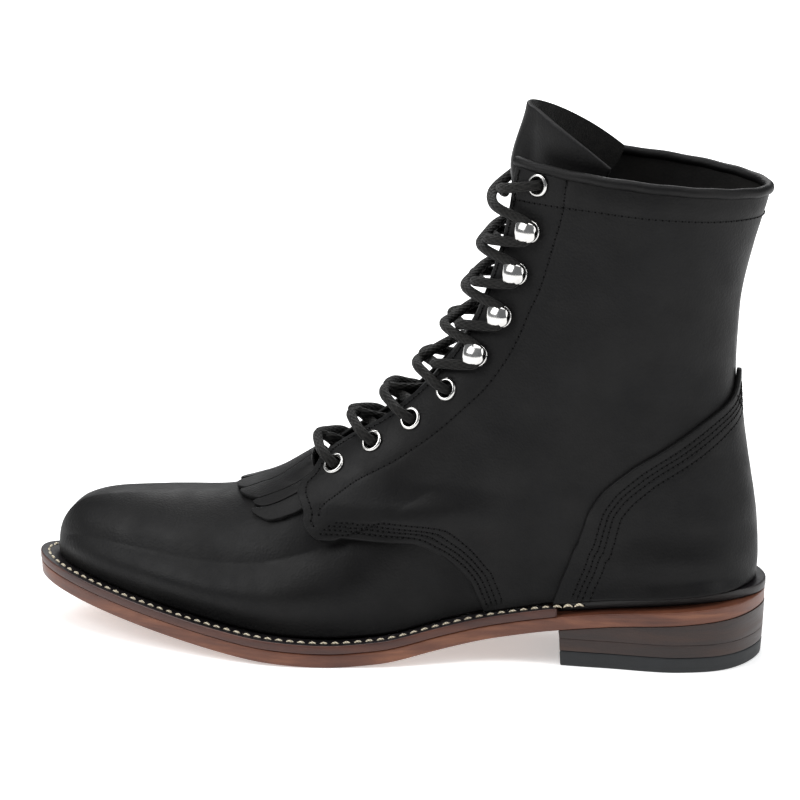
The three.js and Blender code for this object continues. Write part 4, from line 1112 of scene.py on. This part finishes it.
def make_kiltie():
    for side in (-1, 1):
        for i, (near_tip, far_tip) in enumerate(KILTIE_TIPS):
            def place(a, b, side=side, i=i, near_tip=near_tip, far_tip=far_tip):
                rounding = 0.007 * np.abs(2 * a - 1) ** 4
                corner = 0.03 * smooth(a, 0.75, 1.0) ** 2 if i == 3 else 0
                front = mix(near_tip, far_tip, a) + rounding + corner
                low, high = kiltie_cut(i, front), kiltie_cut(i + 1, front)
                level = mix(front, KILTIE_BACK(mix(low, high, a)), b)
                first = kiltie_cut(i, level) + (SLIT if i else 0)
                return side * mix(first, kiltie_cut(i + 1, level) - SLIT, a), level

            name = f"kiltie_strip_{'outer' if side < 0 else 'inner'}_{i + 1}"
            strip = leather(name, place, 0.45, kiltie_top, pitch=1.2, edge=0.6,
                            materials=[BLACK, FLESH, BLACK_EDGE], body=None, slot="upper_leather")
            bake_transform(strip)
            if side < 0 and i == 0:
                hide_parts("kiltie_fringe")


# ---- hardware
def seat_on(turn, level, offset):
    """The frame on the facing at a place, as origin and rows: ahead to the throat, sideways, out."""
    out = normal_at(turn, level)
    ahead = surface(turn * 0.97, level) - surface(turn, level)
    ahead = unit(ahead - out * np.dot(ahead, out))
    return skin(turn, level, offset), np.stack([ahead, np.cross(out, ahead), out])


def turned(profile, sides):
    """A closed ring with the profile's (radius, height) loop, round the Z axis."""
    profile = np.asarray(profile, float)
    angle = 2 * np.pi * np.arange(sides) / sides
    ring = np.stack([np.cos(angle), np.sin(angle)], -1)
    points = np.concatenate([np.concatenate([ring * r, np.full((sides, 1), z)], 1) for r, z in profile])
    return points, outward(points, ring_faces(len(profile), sides, joined=True))


def eyelet_shape():
    """A rolled brass-and-nickel flange with its barrel."""
    round_over = [(mix(EYELET_HOLE, EYELET_OUTER, (1 - math.cos(a)) / 2), 0.15 + 0.95 * math.sin(a))
                  for a in np.linspace(0, math.pi, 13)]
    return turned([(EYELET_HOLE, -3.0), (EYELET_HOLE - 0.02, -1.0)] + round_over
                  + [(EYELET_OUTER - 0.1, -0.05), (EYELET_HOLE + 0.5, -0.05), (EYELET_HOLE + 0.45, -3.0)], 40)


HOOK_DISC_RADIUS = 4.75
HOOK_SHEET = 0.8
HOOK_CROWN = 1.5                  # how far the hood's sides curve down
HOOK_SPINE = [(0.6, 0.9), (2.3, 0.95), (3.7, 1.6), (4.3, 3.0), (3.9, 4.6), (2.7, 5.7), (0.9, 6.15),
              (-1.0, 6.1), (-2.8, 5.6), (-4.2, 4.7), (-4.9, 3.9)]
hook_half_width = through([[0, 2.0], [0.2, 2.3], [0.35, 3.0], [0.5, 3.9], [0.65, 4.35], [0.8, 3.95],
                           [0.9, 3.1], [0.97, 1.7], [1, 0.8]])


def hook_shape():
    """Speed hook: a domed disc on the facing, a neck at the throat side and a hood over the lace."""
    dome = [(HOOK_DISC_RADIUS - 0.55 * (1 - math.cos(a)), 0.05 + 0.75 * math.sin(a))
            for a in np.linspace(math.pi / 2, -0.3, 6)]
    disc_points, disc_faces = turned([(0.01, 0.55), *dome, (0.01, -0.05)], 32)
    s, t = np.meshgrid(np.linspace(0, 1, 27), np.linspace(-1, 1, 13), indexing="ij")
    spine = [[k, *p] for k, p in zip(np.linspace(0, 1, len(HOOK_SPINE)), HOOK_SPINE)]
    z = through(spine, 2)(s) - smooth(s, 0.32, 0.6) * HOOK_CROWN * t ** 2
    centre = np.stack([through(spine, 1)(s), hook_half_width(s) * t, z], -1)
    normal = unit(np.cross(np.gradient(centre, axis=1), np.gradient(centre, axis=0)))
    points, faces, _ = closed_sheet(centre + normal * HOOK_SHEET / 2, centre - normal * HOOK_SHEET / 2)
    faces = outward(points, faces)
    all_points = np.concatenate([disc_points, points])
    all_faces = disc_faces + [tuple(k + len(disc_points) for k in f) for f in faces]
    return all_points, all_faces


def make_hardware():
    shapes = {"eyelet": eyelet_shape(), "hook": hook_shape()}
    for side, name in ((-1, "lateral"), (1, "medial")):
        counts = {"eyelet": 0, "hook": 0}
        for kind, turn, level in zip(station_kinds, station_turn, station_level):
            counts[kind] += 1
            top = float(quarter_top(side * turn, level)) + float(relief(surface(side * turn, level)))
            origin, axes = seat_on(side * turn, level, top + (0.05 if kind == "eyelet" else 0.15))
            points, faces = shapes[kind]
            node = f"{kind}_{name}_{counts[kind]}"
            made = piece(f"{node}_metal", origin + points @ axes, faces, [NICKEL], slot="nickel",
                         replaces=[node])
            if kind == "hook":
                modifier = made.modifiers.new("smooth", "SUBSURF")
                modifier.levels = 1
                modifier.render_levels = 1


# ---- lace
FACING_BUILD = LEATHER + 0.4 + 1.2
UNDER_FACING = -(FACING_BUILD + 2 * CLEARANCE + LACE_RADIUS)
OVER_FACING = CLEARANCE + LACE_RADIUS + 0.1
OVER_FLANGE = 2.6 * CLEARANCE + 0.8 + LACE_RADIUS
HOOK_CENTRE = 2.6
THROUGH_HOOK = 2 * CLEARANCE + 0.9 + LACE_RADIUS
last_station = len(STATIONS) - 1


def near(side, station, ahead, up, out):
    origin, axes = seat_on(side * station_turn[station], station_level[station], 0)
    foot = origin + np.array([ahead, up * side, 0]) @ axes
    turn, level = place_at(foot[0], foot[2])
    return skin(side * turn, level, quarter_top(side * turn, level) + out)


def leave(side, station):
    if station_kinds[station] == "hook":
        spots = [(HOOK_CENTRE, 4.6, THROUGH_HOOK), (11.6, 6.4, OVER_FACING + 1.7), (16.6, 7.4, 2.8)]
    else:
        spots = [(0, 0, 0.3), (0.9, 0.3, 2.6), (3.4, 1.2, OVER_FLANGE + 0.2), (7.8, 2.8, OVER_FACING + 0.9),
                 (12.2, 4.2, OVER_FACING + 1.3), (16.6, 5.4, 1.3)]
    return [near(side, station, *spot) for spot in spots]


def arrive(side, station):
    if station_kinds[station] == "hook":
        spots = [(16.6, -7.4, 3.5), (11.6, -6.4, OVER_FACING + 1.9), (HOOK_CENTRE, -4.6, THROUGH_HOOK),
                 (-0.8, -3.3, THROUGH_HOOK), (-2.1, 0, THROUGH_HOOK), (-0.8, 3.3, THROUGH_HOOK)]
    elif station == last_station:
        spots = [(16.6, -5.6, 1.2), (12.2, -4.2, OVER_FACING + 1), (3.4, -1.2, OVER_FLANGE), (0.9, -0.3, 2.6),
                 (0, 0, 0.3), (0, 0, -2.4), (-0.8, -0.4, -5), (-3.6, -2, UNDER_FACING)]
    else:
        spots = [(18.6, -6.4, UNDER_FACING + 0.2), (12.6, -4.4, UNDER_FACING - 0.3), (4, -1.5, UNDER_FACING),
                 (0.8, -0.3, -5.4), (0, 0, -2.2)]
    return [near(side, station, *spot) for spot in spots]


def crossing(station, over):
    level = (station_level[station] + station_level[station + 1]) / 2
    hooks = "hook" in (station_kinds[station], station_kinds[station + 1])
    floor = float(tongue_top(0.0, level)) + CLEARANCE + LACE_RADIUS
    lift = 2 * LACE_RADIUS + CLEARANCE + 0.2 if over else 0
    return skin(0.0, level, floor + (2.6 if hooks else 1.8) + lift)


def lace_half(side):
    points = [near(side, 0, *spot) for spot in ((12, 0, UNDER_FACING), (4, 0, UNDER_FACING), (0.8, 0, -5.4),
                                                (0, 0, -2.2))]
    for station in range(last_station):
        points += [*leave(side, station), crossing(station, side < 0), *arrive(-side, station + 1)]
        side = -side
    tail = [(0.03, -0.05), (0.05, -0.13), (0.055, -0.22), (0.05, -0.31), (0.055, -0.4)]
    for back, down in tail:
        points.append(skin(side * (station_turn[-1] + back), station_level[-1] + down,
                           LAYER_GAP - CLEARANCE - LACE_RADIUS - 1.7))
    return points


def smooth_path(points, per_span=12):
    """Centripetal Catmull-Rom curve through points."""
    p = np.array([2 * points[0] - points[1], *points, 2 * points[-1] - points[-2]])
    s = np.linspace(0, 1, per_span, endpoint=False)[:, None]
    out = []
    for i in range(len(p) - 3):
        p0, p1, p2, p3 = p[i:i + 4]
        d0, d1, d2 = (max(1e-4, np.linalg.norm(b - a)) ** 0.5 for a, b in ((p0, p1), (p1, p2), (p2, p3)))
        t1 = ((p1 - p0) / d0 - (p2 - p0) / (d0 + d1) + (p2 - p1) / d1) * d1
        t2 = ((p2 - p1) / d1 - (p3 - p1) / (d1 + d2) + (p3 - p2) / d2) * d1
        out.append(p1 + t1 * s + (-3 * p1 + 3 * p2 - 2 * t1 - t2) * s ** 2
                   + (2 * p1 - 2 * p2 + t1 + t2) * s ** 3)
    return np.concatenate([*out, [points[-1]]])


def make_lace():
    bar = skin(0.0, station_level[0], TONGUE_FLOOR + 0.8 + LACE_RADIUS)
    path = resample(smooth_path([*lace_half(-1)[::-1], bar, *lace_half(1)]), 0.75)
    tube("bootlace", path, LACE_RADIUS, 14, [BRAID], slot="lace_cord", replaces=["lace"])


# ---- sole and heel
def loft(name, grid, row_picks, cap_pick, materials, **options):
    """A closed solid through equal loops of points, one loop for each row of the grid."""
    stations, count = grid.shape[:2]
    faces, picks = [], []
    for i in range(stations - 1):
        for j in range(count):
            k = (j + 1) % count
            faces.append((i * count + j, (i + 1) * count + j, (i + 1) * count + k, i * count + k))
            picks.append(row_picks[j])
    faces += [tuple(range(count)), tuple(range((stations - 1) * count, stations * count))[::-1]]
    picks += [cap_pick] * 2
    points = grid.reshape(-1, 3)
    return piece(name, points, outward(points, faces), materials, picks=picks, **options)


def swept(name, turns, section, materials, **options):
    """A strip along the sole's edge. section rows are (inset, height function, material)."""
    columns = []
    for inset, height, _ in section:
        x, y = sole_plan(turns, inset)
        columns.append(np.stack([x, y, height(x)], -1))
    return loft(name, np.stack(columns, 1), [row[2] for row in section], 0, materials, **options)


CORNER = np.linspace(0, math.pi / 2, 4)


def lower_corner(low, inset, radius, pick):
    return [(inset + radius * (1 - math.sin(a)), lambda x, a=a: low(x) + radius * (1 - math.cos(a)), pick)
            for a in CORNER]


def upper_corner(high, inset, radius, pick):
    return [(inset + radius * (1 - math.cos(a)), lambda x, a=a: high(x) - radius * (1 - math.sin(a)), pick)
            for a in CORNER]


def strip_section(low, high, radius, deep):
    """Section of a strip with a rounded outer edge; material 1 is the edge and 0 the faces."""
    upper = upper_corner(high, 0.0, radius, 1)
    on_top = [(inset, height, 0) for inset, height, _ in upper[2:]]
    return [(deep, low, 0), (radius, low, 1), *lower_corner(low, 0.0, radius, 1), *upper[:2], *on_top,
            (deep, high, 0)]


def edge_section(low, high, inset_low, inset_high, radius):
    """Outer wall of a layer with small rounded corners; the insets lean it inwards."""
    wall = [(mix(inset_low, inset_high, share), lambda x, s=share: mix(low(x), high(x), s), 0)
            for share in (0.3, 0.6)]
    return [*lower_corner(low, inset_low, radius, 0), *wall, *upper_corner(high, inset_high, radius, 0)]


def slab(name, section, materials, start_x=None, bottom_pick=0, **options):
    """A full plate with the sole's plan. section rows are (inset, height function, material), upwards."""
    first = 0.0 if start_x is None else float(turn_at((start_x - SOLE_TOE_X) / SOLE_LENGTH))
    u = mix(first, 1, np.linspace(0, 1, 150))
    across = np.linspace(-1, 1, 9)

    def at_row(inset, height, fraction):
        x, y_out = sole_plan(-u, inset)
        _, y_in = sole_plan(u, inset)
        if start_x is not None:
            x = np.maximum(x, start_x + inset * 0.6)
        return np.stack([x, mix(y_out, y_in, (fraction + 1) / 2), height(x)], -1)

    (foot, bottom, side_pick), (crest, top, _) = section[0], section[-1]
    loop = [(foot, bottom, f, bottom_pick) for f in across[:0:-1]] + [(foot, bottom, -1, side_pick)]
    loop += [(inset, height, -1, pick) for inset, height, pick in section[1:-1]]
    loop += [(crest, top, f, 0) for f in across]
    loop += [(inset, height, 1, side_pick) for inset, height, _ in section[-2:0:-1]]
    grid = np.stack([at_row(inset, height, f) for inset, height, f, _ in loop], 1)
    return loft(name, grid, [row[3] for row in loop], side_pick, materials, **options)


BREAST_TURN = float(turn_at((HEEL_BREAST_X - SOLE_TOE_X) / SOLE_LENGTH))
HEEL_TAPER = 1.2


BREAST_GAP = 0.0012               # between welt and heel rand, as turn
LAYER_SEAM = 0.05                 # the layers of the heel stop this far apart, so their gaps hardly show


def level_at(z):
    return lambda x: np.full_like(np.asarray(x, float), z)


def heel_lean(z):
    """How far the heel's side stands in from the sole's edge at a height."""
    return 0.3 + HEEL_TAPER * (1 - z / 20)


def insole_low(x):
    return welt_top(x) + SOLE_SEAT


def make_sole():
    section = strip_section(lambda x: welt_bottom(x) - 0.3, welt_top, 0.7, WELT_WIDTH)
    swept("welt_strip", np.linspace(-BREAST_TURN + BREAST_GAP, BREAST_TURN - BREAST_GAP, 260), section,
          [WELT_BLACK, WELT_EDGE], slot="welt_leather", replaces=["welt"])
    swept("heel_rand_strip", np.linspace(BREAST_TURN, 2 - BREAST_TURN, 150), section,
          [WELT_BLACK, RAND_EDGE], slot="rand_leather", replaces=["heel_rand"])
    section = edge_section(outsole_bottom, lambda x: outsole_top(x) + 2 * LAYER_SEAM, 0.5, 0.25, 0.6)
    slab("outsole_leather", section, [OUTSOLE_EDGE, OUTSOLE_FACE], bottom_pick=1, slot="sole_leather",
         replaces=["outsole"])


def make_heel():
    top = GROUND + HEEL_CAP_THICKNESS
    lower_top = top + CLEARANCE + HEEL_LIFT_THICKNESS
    section = edge_section(level_at(GROUND), level_at(top + 2 * LAYER_SEAM), heel_lean(GROUND),
                           heel_lean(top), 0.9)
    slab("heel_cap_rubber", section, [RUBBER], HEEL_BREAST_X, slot="heel_rubber", replaces=["heel_cap"])
    section = edge_section(level_at(top + 3 * LAYER_SEAM), level_at(lower_top + 2 * LAYER_SEAM),
                           heel_lean(top), heel_lean(lower_top), 0.15)
    slab("heel_lift_lower_leather", section, [LIFT_EDGE], HEEL_BREAST_X, slot="heel_leather",
         replaces=["heel_lift_lower"])
    section = edge_section(level_at(lower_top + 3 * LAYER_SEAM), lambda x: outsole_bottom(x) - LAYER_SEAM,
                           heel_lean(lower_top), 0.3, 0.15)
    slab("heel_lift_upper_leather", section, [LIFT_EDGE], HEEL_BREAST_X, slot="heel_leather",
         replaces=["heel_lift_upper"])


def make_insole():
    section = edge_section(insole_low, lambda x: insole_low(x) + INSOLE_THICKNESS, INSOLE_INSET, INSOLE_INSET,
                           0.6)
    slab("insole_board", section, [BOARD], slot="fibreboard", replaces=["insole"])


def make_welt_stitching():
    turns = np.linspace(-BREAST_TURN - 0.03, BREAST_TURN + 0.03, 500)
    x, y = sole_plan(turns, 3.6)
    line = np.stack([x, y, welt_top(x)], -1)
    up = np.tile([0.0, 0.0, 1.0], (len(turns), 1))
    stitches("welt_stitching", [(line, up)], 4.7, 4.2, 1.15, 1.1, CREAM_THREAD, bury=0.3, slot="welt_leather")


# ---- carried-over CAD nodes
def dress(node, material):
    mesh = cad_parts[node].data
    mesh.materials.clear()
    mesh.materials.append(material)


def dress_nodes():
    for node in ("toe_puff", "heel_counter"):
        dress(node, BOARD)
    dress("cork_filler", CORK)
    for node in ("shank", "heel_nail_1", "heel_nail_2", "heel_nail_3", "heel_nail_4"):
        dress(node, STEEL)
    for node in ("facing_stay_lateral", "facing_stay_medial"):
        dress(node, FLESH)


FLOOR_HALF = 6.0                  # metres


def make_floor():
    mesh = bpy.data.meshes.new("floor")
    corners = [(FLOOR_HALF * x, FLOOR_HALF * y, 0) for x, y in ((-1, -1), (1, -1), (1, 1), (-1, 1))]
    mesh.from_pydata(corners, [], [(0, 1, 2, 3)])
    mesh.materials.append(floor_material())
    floor = bpy.data.objects.new("floor", mesh)
    scene.collection.objects.link(floor)


make_camera()
make_studio()
make_floor()
dress_nodes()
make_sole()
make_heel()
make_insole()
make_welt_stitching()
make_vamp()
make_quarters()
make_counter()
make_binding()
make_tongue()
make_kiltie()
make_hardware()
make_lace()
